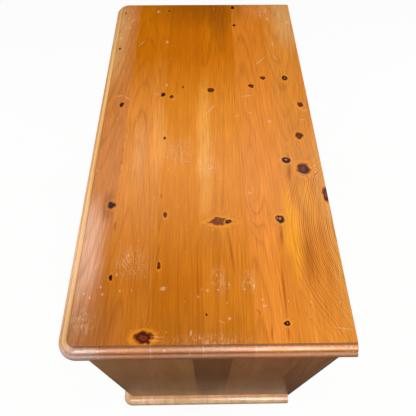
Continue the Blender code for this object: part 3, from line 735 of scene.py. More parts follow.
# Zinc plating gone dull: a grey metal with a satin shine, clouded in small patches.
zinc_steel, tree = new_material("Zinc-plated steel, dulled")
place = add(tree, "ShaderNodeTexCoord").outputs["Object"]
clouds = add(tree, "ShaderNodeTexNoise", {"Vector": place, "Scale": 1 / ZINC_BLOOM, "Detail": 3.0})
shades = {"Factor": clouds, "A": linear("C8C4B8"), "B": linear("A4A8AA")}
plating = add(tree, "ShaderNodeMix", shades, data_type="RGBA")
dulling = add(tree, "ShaderNodeMapRange", {"Value": clouds, **span(0, 1, *ZINC_ROUGHNESS)})
feed(tree, tree.nodes["Principled BSDF"], {"Metallic": 1.0, "Base Color": plating, "Roughness": dulling})


def raised(tree, shape, distance, share=1.0):
    """Shape in a tree of nodes, moved up by a share of a distance."""
    rise = add(tree, "ShaderNodeMath", {0: distance, 1: share}, operation="MULTIPLY")
    rise = add(tree, "ShaderNodeCombineXYZ", {"Z": rise})
    return add(tree, "GeometryNodeTransform", {"Geometry": shape, "Translation": rise})


pins, given = new_group(
    "Panel pins", "GeometryNodeTree",
    {
        "Middle": "Vector", "Run width": "Float", "Run height": "Float", "Spacing": "Float",
        "Head diameter": "Float", "Head height": "Float", "Shank diameter": "Float", "Length": "Float",
        "Finish": "Material",
    },
    {"Pins": "Geometry"},
)
head_radius = add(pins, "ShaderNodeMath", {0: given["Head diameter"], 1: 2.0}, operation="DIVIDE")
shank_radius = add(pins, "ShaderNodeMath", {0: given["Shank diameter"], 1: 2.0}, operation="DIVIDE")
crown_radius = add(pins, "ShaderNodeMath", {0: head_radius, 1: PIN_CROWN_SHARE}, operation="MULTIPLY")
head_size = {"Radius Top": crown_radius, "Radius Bottom": head_radius, "Depth": given["Head height"]}
head = add(pins, "GeometryNodeMeshCone", {"Vertices": PIN_SIDES, **head_size})
shank_size = {"Radius Top": shank_radius, "Radius Bottom": 0.0, "Depth": given["Length"]}
shank = add(pins, "GeometryNodeMeshCone", {"Vertices": PIN_SIDES, **shank_size})
shank = raised(pins, shank, given["Length"], -PIN_ROOTED_SHARE)
pin = add(pins, "GeometryNodeMeshBoolean", {1: head}, operation="UNION", solver="EXACT")
feed(pins, pin, {1: shank})
pin = add(pins, "GeometryNodeTransform", {"Geometry": pin, "Rotation": (-math.pi / 2, 0, 0)})
run_size = {"Width": given["Run width"], "Height": given["Run height"]}
run = add(pins, "GeometryNodeCurvePrimitiveQuadrilateral", run_size)
run_place = {"Translation": given["Middle"], "Rotation": (math.pi / 2, 0, 0)}
run = add(pins, "GeometryNodeTransform", {"Geometry": run, **run_place})
run = add(pins, "GeometryNodeResampleCurve", {"Curve": run, "Length": given["Spacing"]}, mode="LENGTH")
row = add(pins, "GeometryNodeInstanceOnPoints", {"Points": run, "Instance": pin})
row = add(pins, "GeometryNodeRealizeInstances", {"Geometry": row})
row = add(pins, "GeometryNodeSetMaterial", {"Geometry": row, "Material": given["Finish"]})
add(pins, "NodeGroupOutput", {"Pins": row})


def driven(name, tree, points, sizes, body):
    """Steel fasteners that a tree of nodes makes from points and named sizes, one plain mesh on a body."""
    starts = bpy.data.meshes.new(name + "_points")
    starts.from_pydata(points, [], [])
    piece = bpy.data.objects.new(name, starts)
    scene.collection.objects.link(piece)
    modifier = piece.modifiers.new(tree.name, "NODES")
    modifier.node_group = tree
    for socket in tree.interface.items_tree:
        if socket.in_out == "INPUT" and socket.name in sizes:
            modifier[socket.identifier] = sizes[socket.name]
    made = bpy.data.meshes.new_from_object(piece.evaluated_get(bpy.context.evaluated_depsgraph_get()))
    made.name = name
    piece.modifiers.remove(modifier)
    piece.data = made
    made.shade_smooth()
    made.set_sharp_from_angle(angle=STEEL_SHARP_ANGLE)
    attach(piece, body)
    return piece


low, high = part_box("back_panel")
pin_sizes = {
    "Middle": ((low.x + high.x) / 2, high.y + PIN_HEAD_PROUD - PIN_HEAD_HEIGHT, (low.z + high.z) / 2),
    "Run width": high.x - low.x - 2 * PIN_INSET, "Run height": high.z - low.z - 2 * PIN_INSET,
    "Spacing": PIN_SPACING, "Head diameter": PIN_HEAD_DIAMETER, "Head height": PIN_HEAD_HEIGHT,
    "Shank diameter": PIN_SHANK_DIAMETER, "Length": PIN_LENGTH, "Finish": zinc_steel,
}
driven("back_panel_pins", pins, [], pin_sizes, body_of["back_panel"])


# Top
# Six pine boards glued edge to edge, planed, moulded along the front and both ends, stained honey
# and lacquered. It is screwed up through the cleats, and years of use have rubbed and marked it.
TOP_BOARD_WIDTH = 78 * MM
TOP_SEAM = 142 * MM
TOP_HEART_X = 110 * MM
TOP_UNDERCUT = 2 * MM
BEAD_WIDTH = 6.5 * MM
BEAD_LOW = 9.2 * MM
BEAD_HIGH = 16.2 * MM
GROOVE_HIGH = 17.2 * MM
OVOLO_WIDTH = 11 * MM
OVOLO_HIGH = 23.2 * MM
TOP_INNER_CORNER = 13.5 * MM
# The ends are spared most of the rubbed colour, so the painted highlight of the ovolo lies along the front.
TOP_END_SPARED = 1.2
# Wear up the moulding, from the undercut to the quirk where it meets the flat of the top. The grime in the
# undercut, on the lower edge, in the groove and in the quirk is partly dirt and partly painted shade in those
# hollows.
UNDERCUT_GRIME_AND_SHADE = -0.8
EDGE_GRIME_AND_SHADE = -0.6
BEAD_EDGE_RUB = 0.3
BEAD_RUB = 0.5
GROOVE_GRIME_AND_SHADE = -0.8
# The rubbed ovolo is also a painted highlight: its pale colour stands in for the light along the front
# moulding.
OVOLO_EDGE_RUB_AND_HIGHLIGHT = 0.8
OVOLO_RUB_AND_HIGHLIGHT = 1.0
QUIRK_EDGE_GRIME_AND_SHADE = -0.4
QUIRK_GRIME_AND_SHADE = -1.2

top_low, top_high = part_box("top_panel")
top_height = top_high.z - top_low.z
ovolo_inset = BEAD_WIDTH + OVOLO_WIDTH
# The darkened undercut, lower edge, groove and quirk are painted shade as well as grime.
profile = [(TOP_UNDERCUT, 0, UNDERCUT_GRIME_AND_SHADE), (0, BEAD_LOW, EDGE_GRIME_AND_SHADE)]
profile += quarter_round((0, BEAD_LOW), (BEAD_WIDTH, BEAD_HIGH), BEAD_RUB, BEAD_EDGE_RUB)
profile[-1:] = [(*profile[-1][:2], GROOVE_GRIME_AND_SHADE), (BEAD_WIDTH, GROOVE_HIGH, GROOVE_GRIME_AND_SHADE)]
profile += quarter_round((BEAD_WIDTH, GROOVE_HIGH), (ovolo_inset, OVOLO_HIGH), OVOLO_RUB_AND_HIGHLIGHT, OVOLO_EDGE_RUB_AND_HIGHLIGHT)
profile[-2:] = [(*profile[-2][:2], QUIRK_EDGE_GRIME_AND_SHADE), (*profile[-1][:2], QUIRK_GRIME_AND_SHADE)]
profile += [(ovolo_inset, top_height, QUIRK_GRIME_AND_SHADE)]
shape, underside = moulded_board(profile, top_low, top_high, TOP_INNER_CORNER, TOP_END_SPARED)
shape.faces.new(reversed(underside))
bmesh.ops.recalc_face_normals(shape, faces=shape.faces)

# Each board from front to back: its tone, and how far it is deepened to a darker amber at the far end and at
# the near end.
TOP_BOARDS = (
    ("CA7B36", 0.1, 0.5), ("DE8830", 1.0, 0.75), ("DD8418", 1.0, 0.75), ("E28924", 1.0, 0.55),
    ("E4892E", 0.45, 0.05), ("DC872E", 0.0, 0.0),
)
# Far end: the boards are deepened to a darker amber towards the far end, and a broad patch there darkens it
# more.
FAR_DARKENING = "E6D20C"
FAR_DARKENING_FROM = -60 * MM
FAR_DARKENING_FULL = -230 * MM
NEAR_STAIN = "CBB827"
NEAR_STAIN_FROM = 120 * MM
NEAR_STAIN_FULL = 340 * MM
# Marks of age and use, some of them partly painted sheen and highlight: middle, half length and half width in
# millimetres, colour and cover.
TOP_PATCHES = {
    "darker at the far end": (-470, -5, 170, 185, "8A4A00", 0.6),
    "heartwood at the far end": (-370, 45, 150, 34, "8C4A00", 0.5),
    "pale front edge at the far end": (-290, -205, 230, 42, "D89C5E", 0.85),
    "pale rear corner at the far end": (-390, 212, 190, 46, "DEA462", 0.85),
    "light wood by the middle joint": (40, 2, 230, 22, "F4A848", 0.75),
    "light wood along the front joint": (40, -90, 120, 26, "F2A048", 0.7),
    # The pale pinkish bloom here is partly bloom in the lacquer and partly painted sheen, the light mirrored
    # in the finish.
    "bloom and painted sheen on the front board": (285, -198, 150, 42, "E6B090", 0.85),
    "dark wood by the front knot": (192, -170, 50, 15, "8A4A20", 0.5),
    # Near the corner the blooms are partly painted too: sheen on the flat, and a highlight on the moulded
    # ovolo.
    "bloom and painted sheen on the near corner": (400, -210, 110, 40, "C68E66", 0.7),
    "bloom and painted highlight on the moulded corner": (452, -195, 18, 70, "E4CEC8", 0.75),
    "pale rear edge": (220, 226, 270, 26, "EEA650", 0.75),
    "handled front corner": (440, -175, 130, 70, "96592E", 0.5),
    "handled near end": (450, -20, 90, 130, "A05E12", 0.5),
    "pale wood by the front": (60, -125, 120, 20, "E8A05A", 0.5),
    "heartwood by the oval knot": (280, 25, 60, 16, "B4660C", 0.45),
    "warm wood by the rear knots": (245, 153, 120, 22, "F8A424", 0.75),
    "warm wood by the rear edge": (185, 192, 70, 22, "F8A830", 0.55),
    "dark wood by the rear edge": (300, 173, 75, 16, "A85404", 0.5),
}
# Dark streaks in the grain, and pitch: both ends and the width in millimetres.
TOP_STREAKS = (
    (238, 42, 330, 50, 5), (300, 128, 402, 126, 5), (230, 135, 280, 132, 7), (382, 80, 391, 87, 3),
    (404, 102, 434, 100, 3.5), (255, -12, 432, -9, 2.5), (94, 167, 142, 161, 11), (222, -155, 242, -155, 6),
    (70, 165, 96, 168, 7), (218, -76, 250, -77, 2.5), (405, 126, 433, 126, 3.5), (260, -74, 300, -78, 2),
    (52, -160, 64, -156, 3), (84, -159, 99, -154, 4), (165, -79, 176, -75, 4),
)
# Knots by kind: middle, half length and half width in millimetres.
TOP_KNOTS = {
    "live": (
        (309, -74, 5, 2.6), (211, -68, 5.5, 3.4), (111, 192, 12.5, 10.5), (170, 226, 15, 6),
        (-111, 18, 5.5, 7), (-90, -67, 5, 4.2), (-149, 137, 5, 5), (-123, 108, 5.5, 5),
        (26, 195, 8, 7), (-63, 209, 6.5, 5.2), (424, -92, 8.5, 12.5),
    ),
    "dead": (
        (189, -166, 7, 6), (328, -151, 5, 2.4), (30, -77, 4, 2.8), (-67, -173, 6, 4.5),
        (-96, -86, 5.5, 5), (-424, 81, 6, 4), (-348, 81, 4.5, 3.4), (-119, -43, 2.3, 2),
        (390, 3, 2.8, 1.4),
    ),
    "branch": ((225, 28, 7, 14.5), (226, 30, 3.6, 20)),
    "loose": (
        (221, 135, 7, 6.5), (226, 43, 4.5, 4.5), (89, 161, 6.5, 7.5), (-148, 186, 7.5, 5),
        (405, 126, 4.2, 4.6),
    ),
    "nail": ((-402, -196, 3, 2), (-256, -197, 3, 2), (-410, -84, 3, 2)),
}
TOP_KNOT_RINGS = {
    "live": (
        (0.0, "5C220C", 1.0), (0.35, "7A320E", 1.0), (0.6, "3A1208", 1.0), (0.85, "4C1A0A", 1.0),
        (1.05, "7C380C", 0.9), (1.2, "BC640C", 0.8), (1.45, "EC961E", 0.5), (2.0, "EC961E", 0.0),
    ),
    "dead": (
        (0.0, "2C1A16", 1.0), (0.35, "160A08", 1.0), (0.7, "1C0A06", 1.0), (0.9, "3C160A", 0.95),
        (1.05, "7C380C", 0.8), (1.2, "AC580C", 0.7), (1.5, "D8801A", 0.45), (2.0, "E08A1E", 0.0),
    ),
    "branch": (
        (0.0, "6E300C", 1.0), (0.4, "8E4612", 1.0), (0.65, "5A240A", 1.0), (0.8, "8A420E", 1.0),
        (0.92, "3A1408", 1.0), (1.0, "7C380C", 0.9), (1.15, "C06C10", 0.6), (1.4, "E89A28", 0.5),
        (2.0, "E8921E", 0.0),
    ),
    "loose": (
        (0.0, "D8963E", 1.0), (0.2, "BA6A1E", 1.0), (0.36, "4A1E0C", 1.0), (0.52, "1E0A06", 1.0),
        (0.85, "2A0E08", 1.0), (1.05, "642A0A", 0.9), (1.2, "B8640E", 0.6), (1.45, "EE9A24", 0.5),
        (2.0, "EE9A24", 0.0),
    ),
    "nail": ((0.0, "201814", 1.0), (0.9, "2C201A", 1.0), (1.3, "7A4A22", 0.5), (2.0, "A86A2C", 0.0)),
}
KNOT_MOTTLE = 0.5
KNOT_MOTTLE_GRAIN = 9 * MM
# A knot narrows by this many radii from the face of the top to its underside.
KNOT_TAPER = 1.3
# Scratches through the lacquer: both ends in millimetres.
TOP_SCRATCHES = (
    (293, -138, 309, -125), (312, -120, 324, -109), (316, -182, 296, -170), (347, -198, 370, -199),
    (399, 21, 404, 31), (411, 193, 417, 227), (307, 222, 334, 221), (110, 3, 104, 26), (112, 8, 107, 20),
    (133, 25, 132, 38), (47, -64, 81, -68), (89, -49, 90, -21), (300, -137, 316, -126), (422, -82, 424, -60),
    (428, -84, 429, -64), (449, 0, 444, 3),
)
# Those of the far half are drawn wider than they are, because finer ones are lost in the render.
FAR_SCRATCHES = (
    (-29, 64, -33, 79), (-89, 82, -93, 112), (-42, 10, -65, 27), (-33, 3, -46, 13), (-99, -106, -98, -93),
    (-92, -190, -95, -171), (-95, -171, -79, -156), (-56, 204, -40, 219), (-44, 211, -48, 222),
    (-19, 199, -18, 215), (120, 178, 127, 203), (-192, 121, -222, 148), (-286, 171, -259, 171),
    (-231, 167, -209, 175),
    (-422, 152, -377, 150), (-354, -184, -380, -166), (-330, -184, -346, -178), (-266, -150, -289, -139),
)
FAR_SCRATCH_WIDTH = 2.8
# Flecks where the lacquer has chipped off: middle, half length and half width in millimetres.
TOP_FLECKS = (
    (354, -190, 2.2, 2), (360, -181, 3, 2), (323, -142, 3, 2), (356, -161, 3, 2), (343, -166, 2.5, 1.8),
    (348, -66, 3, 4.5), (341, 41, 2.5, 1.8), (396, 38, 2.2, 2.2), (361, -10, 2.4, 2), (418, -21, 4, 1.8),
    (352, 4, 3, 2), (368, 91, 2, 2.5), (378, 93, 1.8, 4), (345, 80, 5, 1.4), (340, 74, 4, 1.2),
    (112, -200, 3, 2.5), (-40, 100, 3, 3), (165, 85, 3, 3), (446, 212, 2, 3), (441, 217, 3, 2),
    (450, 205, 1.5, 3), (438, 209, 2, 2), (447, 221, 2, 2), (447, -22, 3, 1.5), (443, -60, 2, 2),
    (-14, 139, 4, 4), (-406, -112, 7, 4), (-281, -85, 5, 4), (-127, -79, 4, 3), (-373, 167, 7, 4),
    (-358, 217, 7, 4), (-297, -199, 6, 4),
)
SPECK_SPACING = 22 * MM
SPECK_SHARE = 0.07
SPECK_CHANCE = 0.5
SPECK_COVER = 0.5
OUTLINE_WANDER = 6 * MM
OUTLINE_GRAIN = 9 * MM
PATCH_WANDER = 70 * MM
PATCH_GRAIN = 90 * MM
# Places where the grain swells round a branch: middle, half length, half width and push in millimetres.
TOP_SWELLINGS = ((235, 250, 255, 140, 95), (150, 92, 150, 22, 10), (85, -155, 120, 22, 14))
SWELLING_LINES = 17.0
# Scuffs: middle, half length and half width in millimetres. The rubs in them run with the grain, and
# are drawn broader than they are so that they show.
TOP_SCUFFS = (
    (398, -186, 34, 28), (334, 24, 36, 20), (335, 72, 26, 22), (67, -46, 52, 44), (100, 8, 40, 32),
    (-380, -190, 90, 34), (-420, 150, 60, 70), (300, -120, 40, 40), (430, 10, 16, 90),
)
RUB_LENGTH = 9 * MM
RUB_WIDTH = 3.4 * MM
RUB_BREAKS = (0.48, 0.78, 0, 0.52)
# Edges of the marks: where each fades in and where it is full, as shares of its reach.
PATCH_EDGE = (1.0, 0.25)
STREAK_EDGE = (1.2, 0.2)
SCUFF_EDGE = (1.0, 0.2)
STREAK_COVER = 0.6
BARE_COVER = 0.44
DARK_STREAK = "843604"
BARE_WOOD = "E6C49C"
SCUFFED = "EBC8A0"
# Filler in the joints shows where the moulding cuts across them.
FILLER = "E6C08C"
FILLER_LINE = (1.3 * MM, 0.4 * MM, 0, 0.35)
SOUND_WITHIN = 0.02
TOP_LATE = "A0703C"
TOP_LINES = 0.3
TOP_LIGHT = {"Streak": (0.25, 0.75, 0.90, 1.08), "Fibre": (0.34, 0.66, 0.80, 1.12)}


def wandering(tree, place, seed_place, grain, detail, reach):
    """Place moved about by noise of one grain, which gives what is drawn by it a ragged outline."""
    sway = add(tree, "ShaderNodeTexNoise", {"Vector": seed_place, "Scale": 1 / grain, "Detail": detail})
    middle = {0: sway.outputs["Color"], 1: (0.5, 0.5, 0.5)}
    sway = add(tree, "ShaderNodeVectorMath", middle, operation="SUBTRACT")
    return add(tree, "ShaderNodeVectorMath", {0: sway, 1: reach, 2: place}, operation="MULTIPLY_ADD")


top_pine, tree = new_material("Honey lacquered pine, top")
in_top = add(tree, "ShaderNodeTexCoord").outputs["Object"]
on_top = add(tree, "ShaderNodeVectorMath", {0: in_top, 1: (1, 1, 0)}, operation="MULTIPLY").outputs[0]
along, _, height = add(tree, "ShaderNodeSeparateXYZ", {0: in_top}).outputs
ragged = wandering(tree, on_top, in_top, OUTLINE_GRAIN, 1.0, (OUTLINE_WANDER, OUTLINE_WANDER, 0))
blotchy = wandering(tree, on_top, on_top, PATCH_GRAIN, 3.0, (PATCH_WANDER, PATCH_WANDER / 4, 0))
mottle = add(tree, "ShaderNodeTexNoise", {"Vector": on_top, "Scale": 1 / KNOT_MOTTLE_GRAIN, "Detail": 2.0})
mottle = add(tree, "ShaderNodeMapRange", {"Value": mottle, **span(0, 1, -KNOT_MOTTLE, KNOT_MOTTLE)})
deeper = add(tree, "ShaderNodeMapRange", {"Value": height, **span(top_high.z, top_low.z, 0, KNOT_TAPER)})
mottle = add(tree, "ShaderNodeMath", {0: mottle, 1: deeper}, operation="ADD")
off_knot = {}
for kind, knots in TOP_KNOTS.items():
    distance = nearest(tree, ragged, knots)
    off_knot[kind] = add(tree, "ShaderNodeMath", {0: distance, 1: mottle}, operation="ADD")
off_any = off_knot["live"]
for kind in ("dead", "branch", "loose"):
    off_any = add(tree, "ShaderNodeMath", {0: off_any, 1: off_knot[kind]}, operation="MINIMUM")
push = add(
    tree, "ShaderNodeMapRange", {"Value": off_any, **span(*KNOT_BEND)}, interpolation_type="SMOOTHSTEP"
)
swelled = 0.0
for *spot, swell_push in TOP_SWELLINGS:
    swelling = add(
        tree, "ShaderNodeMapRange",
        {"Value": nearest(tree, on_top, [spot]), **span(1, 0, 0, swell_push * MM)},
        interpolation_type="SMOOTHSTEP",
    )
    swelled = add(tree, "ShaderNodeMath", {0: swelling, 1: swelled}, operation="ADD")
push = add(tree, "ShaderNodeMath", {0: push, 1: swelled}, operation="ADD")
wood = sawn(tree, "XYZ", TOP_BOARD_WIDTH, 0.0, push)
colour = None
for column, stain, clear, full in (
    (1, FAR_DARKENING, FAR_DARKENING_FROM, FAR_DARKENING_FULL), (2, NEAR_STAIN, NEAR_STAIN_FROM, NEAR_STAIN_FULL),
):
    boards = laid_up(
        tree, top_low.y, top_high.y, top_low.y + TOP_SEAM - TOP_BOARD_WIDTH, TOP_BOARD_WIDTH,
        [(board[0], board[column]) for board in TOP_BOARDS],
    )
    deepened = add(tree, "ShaderNodeMapRange", {"Value": along, **span(clear, full)})
    deepened = add(tree, "ShaderNodeMath", {0: deepened, 1: boards.outputs["Alpha"]}, operation="MULTIPLY")
    colour = add(
        tree, "ShaderNodeMix", {"Factor": deepened, "A": colour or boards, "B": linear(stain)},
        data_type="RGBA", blend_type="MULTIPLY",
    )
for *spot, hex_colour, cover in TOP_PATCHES.values():
    shade = add(
        tree, "ShaderNodeMapRange", {"Value": nearest(tree, blotchy, [spot]), **span(*PATCH_EDGE, 0, cover)},
        interpolation_type="SMOOTHSTEP",
    )
    colour = add(
        tree, "ShaderNodeMix", {"Factor": shade, "A": colour, "B": linear(hex_colour)}, data_type="RGBA"
    )
colour = shaded(tree, wood, colour, TOP_LIGHT)
clearness = {0: swelled, 1: SWELLING_LINES, 2: TOP_LINES}
clearness = add(tree, "ShaderNodeMath", clearness, operation="MULTIPLY_ADD")
lines = {0: wood.outputs["Ring"], 1: clearness}
lines = add(tree, "ShaderNodeMath", lines, operation="MULTIPLY", use_clamp=True)
colour = add(
    tree, "ShaderNodeMix", {"Factor": lines, "A": colour, "B": linear(TOP_LATE)},
    data_type="RGBA", blend_type="MULTIPLY",
)
off_streak = nearest(tree, on_top, [stroke(*dark_streak) for dark_streak in TOP_STREAKS])
shade = add(tree, "ShaderNodeMapRange", {"Value": off_streak, **span(*STREAK_EDGE, 0, STREAK_COVER)})
colour = add(
    tree, "ShaderNodeMix", {"Factor": shade, "A": colour, "B": linear(DARK_STREAK)}, data_type="RGBA"
)
for kind, distance in off_knot.items():
    colour = grown_in(tree, colour, distance, TOP_KNOT_RINGS[kind])
off_fleck = nearest(tree, ragged, TOP_FLECKS)
scratches = [stroke(*scratch, SCRATCH_WIDTH) for scratch in TOP_SCRATCHES]
scratches += [stroke(*scratch, FAR_SCRATCH_WIDTH) for scratch in FAR_SCRATCHES]
off_scratch = nearest(tree, on_top, scratches)
off_bare = add(tree, "ShaderNodeMath", {0: off_fleck, 1: off_scratch}, operation="MINIMUM")
bare = add(tree, "ShaderNodeMapRange", {"Value": off_bare, **span(*BARE_EDGE, 0, BARE_COVER)})
specks = add(
    tree, "ShaderNodeTexVoronoi", {"Vector": on_top, "Scale": 1 / SPECK_SPACING}, voronoi_dimensions="2D"
)
size_chance, cover_chance, _ = add(tree, "ShaderNodeSeparateColor", {0: specks.outputs["Color"]}).outputs
speck_size = {"Value": size_chance, **span(SPECK_CHANCE, 1, 0, SPECK_SHARE)}
speck_size = add(tree, "ShaderNodeMapRange", speck_size)
speck = add(tree, "ShaderNodeMath", {0: specks, 1: speck_size}, operation="LESS_THAN")
speck = add(tree, "ShaderNodeMath", {0: speck, 1: cover_chance}, operation="MULTIPLY")
speck = add(tree, "ShaderNodeMath", {0: speck, 1: SPECK_COVER}, operation="MULTIPLY")
rub_size = (RUB_LENGTH, RUB_WIDTH, RUB_WIDTH)
rubs = add(tree, "ShaderNodeVectorMath", {0: on_top, 1: rub_size}, operation="DIVIDE")
rubs = add(tree, "ShaderNodeTexNoise", {"Vector": rubs, "Scale": 1.0, "Detail": 4.0, "Distortion": 1.6})
rubs = add(tree, "ShaderNodeMapRange", {"Value": rubs, **span(*RUB_BREAKS)})
scuffed = add(
    tree, "ShaderNodeMapRange", {"Value": nearest(tree, on_top, TOP_SCUFFS), **span(*SCUFF_EDGE)},
    interpolation_type="SMOOTHSTEP",
)
rubs = add(tree, "ShaderNodeMath", {0: rubs, 1: scuffed}, operation="MULTIPLY")
wear_and_painted_light = add(tree, "ShaderNodeAttribute", attribute_name="worn").outputs["Fac"]
flat = add(tree, "ShaderNodeMath", {0: wear_and_painted_light, 1: 0.0, 2: SOUND_WITHIN}, operation="COMPARE")
filler = add(tree, "ShaderNodeMapRange", {"Value": wood.outputs["Seam"], **span(*FILLER_LINE)})
flat_filler = add(tree, "ShaderNodeMath", {0: filler, 1: flat}, operation="MULTIPLY")
filler = add(tree, "ShaderNodeMath", {0: filler, 1: flat_filler}, operation="SUBTRACT")
for cover, hex_colour in ((bare, BARE_WOOD), (speck, BARE_WOOD), (rubs, SCUFFED), (filler, FILLER)):
    colour = add(
        tree, "ShaderNodeMix", {"Factor": cover, "A": colour, "B": linear(hex_colour)}, data_type="RGBA"
    )
# The top's rubbed colour, yellower than the case's, is also the painted highlight along the front moulding.
finished(top_pine, wood, colour, {**HONEY, "worn": "F0C27C"})
fit("top_panel", shape, top_pine, (TOP_HEART_X, top_low.y + TOP_SEAM + TOP_BOARD_WIDTH / 2, top_low.z))


# Drawer boxes
# Sides lap-dovetailed into the fronts, backs housed in the sides, and thin bottoms in grooves.
# All are bare pine.
DRAWER_EASE = 0.3 * MM

side_pine = pine("Bare planed pine, drawer sides", "YZX", BARE)
drawer_back_pine = pine("Bare planed pine, drawer backs", "XZY", BARE)
bottom_pine = pine("Bare pine-faced panel, drawer bottoms", "XYZ", BARE, knot_share=0.15)
for drawer in DRAWERS:
    for part, part_pine in (
        ("_left_side", side_pine), ("_right_side", side_pine), ("_back", drawer_back_pine),
        ("_bottom", bottom_pine),
    ):
        fit(drawer + part, eased(drawer + part, DRAWER_EASE), part_pine, box_middle(drawer + part))


# Drawer fronts
# Solid pine boards, lacquered on the face, with the front edges rounded over.
FRONT_ROUND = 2.5 * MM

front_pine = pine("Honey lacquered pine, drawer fronts", "XZY", front_finish, knot_share=0.55)
for node in [drawer + "_front" for drawer in DRAWERS]:
    fit(node, eased(node, DRAWER_EASE, FRONT_ROUND), front_pine, box_middle(node))


# Knobs
# Pine knobs turned with the grain along their axis, lacquered, with a pilot hole for the screw.
KNOB_SEAT_DIAMETER = 28 * MM
KNOB_SEAT_HEIGHT = 4 * MM
KNOB_NECK_DIAMETER = 20 * MM
KNOB_NECK_HEIGHT = 10 * MM
KNOB_EASE = 0.5 * MM
KNOB_STEPS = 48
CROWN_STEPS = 16
PILOT_DIAMETER = 5.2 * MM
PILOT_DEPTH = 18.3 * MM
SEAT_RUB = 0.2
SEAT_EDGE_RUB = 0.3
NECK_GRIME = -0.3
SWELL_RUB = 0.1
CROWN_RUB = 0.5

knob_pine = pine("Honey lacquered pine, turned knobs", "YXZ", HONEY, knot_share=0.1)
knobs = [f"{drawer}_knob" for drawer in DRAWERS[:2]]
knobs += [f"{drawer}_{hand}_knob" for drawer in DRAWERS[2:] for hand in ("left", "right")]
pilot = PILOT_DIAMETER / 2
seat = KNOB_SEAT_DIAMETER / 2
neck = KNOB_NECK_DIAMETER / 2
quarter = [math.pi / 2 * step / CROWN_STEPS for step in range(CROWN_STEPS + 1)]
for node in knobs:
    low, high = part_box(node)
    crown = (high.x - low.x) / 2
    projection = high.y - low.y
    widest = (KNOB_NECK_HEIGHT + projection) / 2
    profile = [(0, PILOT_DEPTH, 0), (pilot, PILOT_DEPTH, 0), (pilot, 0, 0), (seat - KNOB_EASE, 0, 0)]
    profile += [(seat, KNOB_EASE, SEAT_RUB), (seat, KNOB_SEAT_HEIGHT - KNOB_EASE, SEAT_EDGE_RUB)]
    for angle in quarter:
        height = KNOB_NECK_HEIGHT - (KNOB_NECK_HEIGHT - KNOB_SEAT_HEIGHT) * math.cos(angle)
        profile.append((seat - (seat - neck) * math.sin(angle), height, NECK_GRIME))
    for angle in quarter[1:]:
        height = KNOB_NECK_HEIGHT + (widest - KNOB_NECK_HEIGHT) * (1 - math.cos(angle))
        profile.append((neck + (crown - neck) * math.sin(angle), height, SWELL_RUB))
    for angle in quarter[1:-1]:
        height = widest + (projection - widest) * math.sin(angle)
        profile.append((crown * math.cos(angle), height, CROWN_RUB * math.sin(angle)))
    profile.append((0, projection, CROWN_RUB))
    shape = turned(profile, KNOB_STEPS)
    foot = Vector(((low.x + high.x) / 2, high.y, (low.z + high.z) / 2))
    facing = Matrix.Translation(foot) @ Matrix.Rotation(math.pi / 2, 4, "X")
    bmesh.ops.transform(shape, matrix=facing, verts=shape.verts)
    fit(node, shape, knob_pine, foot)


# Knob screws
# Slotted dome-headed wood screws of zinc-plated steel. Each is driven from inside its drawer, through
# the front and into the knob.
SCREW_HEAD_DIAMETER = 9.5 * MM
SCREW_HEAD_HEIGHT = 3 * MM
SCREW_SHANK_DIAMETER = 4.6 * MM
SCREW_TIP = 4 * MM
SCREW_SLOT_WIDTH = 1.2 * MM
SCREW_SLOT_DEPTH = 1.3 * MM
SCREW_ROOTED_SHARE = 0.3
SCREW_SIDES = 32
SCREW_SEED = 5

screws, given = new_group(
    "Slotted wood screws", "GeometryNodeTree",
    {
        "Seats": "Geometry", "Head diameter": "Float", "Head height": "Float", "Shank diameter": "Float",
        "Length": "Float", "Tip": "Float", "Slot width": "Float", "Slot depth": "Float", "Seed": "Int",
        "Finish": "Material",
    },
    {"Screws": "Geometry"},
)
head_radius = add(screws, "ShaderNodeMath", {0: given["Head diameter"], 1: 2.0}, operation="DIVIDE")
flatness = add(screws, "ShaderNodeMath", {0: given["Head height"], 1: head_radius}, operation="DIVIDE")
flattened = add(screws, "ShaderNodeCombineXYZ", {0: 1.0, 1: 1.0, 2: flatness})
ball_size = {"Segments": SCREW_SIDES, "Rings": SCREW_SIDES // 2, "Radius": head_radius}
ball = add(screws, "GeometryNodeMeshUVSphere", ball_size)
ball = add(screws, "GeometryNodeTransform", {"Geometry": ball, "Scale": flattened})
block = add(screws, "ShaderNodeMath", {0: given["Head diameter"], 1: 2.0}, operation="MULTIPLY")
block_size = add(screws, "ShaderNodeCombineXYZ", {0: block, 1: block, 2: block})
below = add(screws, "GeometryNodeMeshCube", {"Size": block_size})
below = raised(screws, below, given["Head diameter"], -1)
dome = add(screws, "GeometryNodeMeshBoolean", {0: ball, 1: below}, operation="DIFFERENCE", solver="EXACT")
shank_radius = add(screws, "ShaderNodeMath", {0: given["Shank diameter"], 1: 2.0}, operation="DIVIDE")
plain = add(screws, "ShaderNodeMath", {0: given["Length"], 1: given["Tip"]}, operation="SUBTRACT")
rooted = {0: given["Head height"], 1: SCREW_ROOTED_SHARE, 2: plain}
rooted = add(screws, "ShaderNodeMath", rooted, operation="MULTIPLY_ADD")
shank_size = {"Radius Top": shank_radius, "Radius Bottom": shank_radius, "Depth": rooted}
shank = add(screws, "GeometryNodeMeshCone", {"Vertices": SCREW_SIDES, **shank_size})
shank = raised(screws, shank, plain, -1)
tip_size = {"Radius Top": shank_radius, "Radius Bottom": 0.0, "Depth": given["Tip"]}
tip = add(screws, "GeometryNodeMeshCone", {"Vertices": SCREW_SIDES, **tip_size})
tip = raised(screws, tip, given["Length"], -1)
screw = add(screws, "GeometryNodeMeshBoolean", {1: dome}, operation="UNION", solver="EXACT")
feed(screws, screw, {1: shank})
feed(screws, screw, {1: tip})
slot_height = add(screws, "ShaderNodeMath", {0: given["Slot depth"], 1: 2.0}, operation="MULTIPLY")
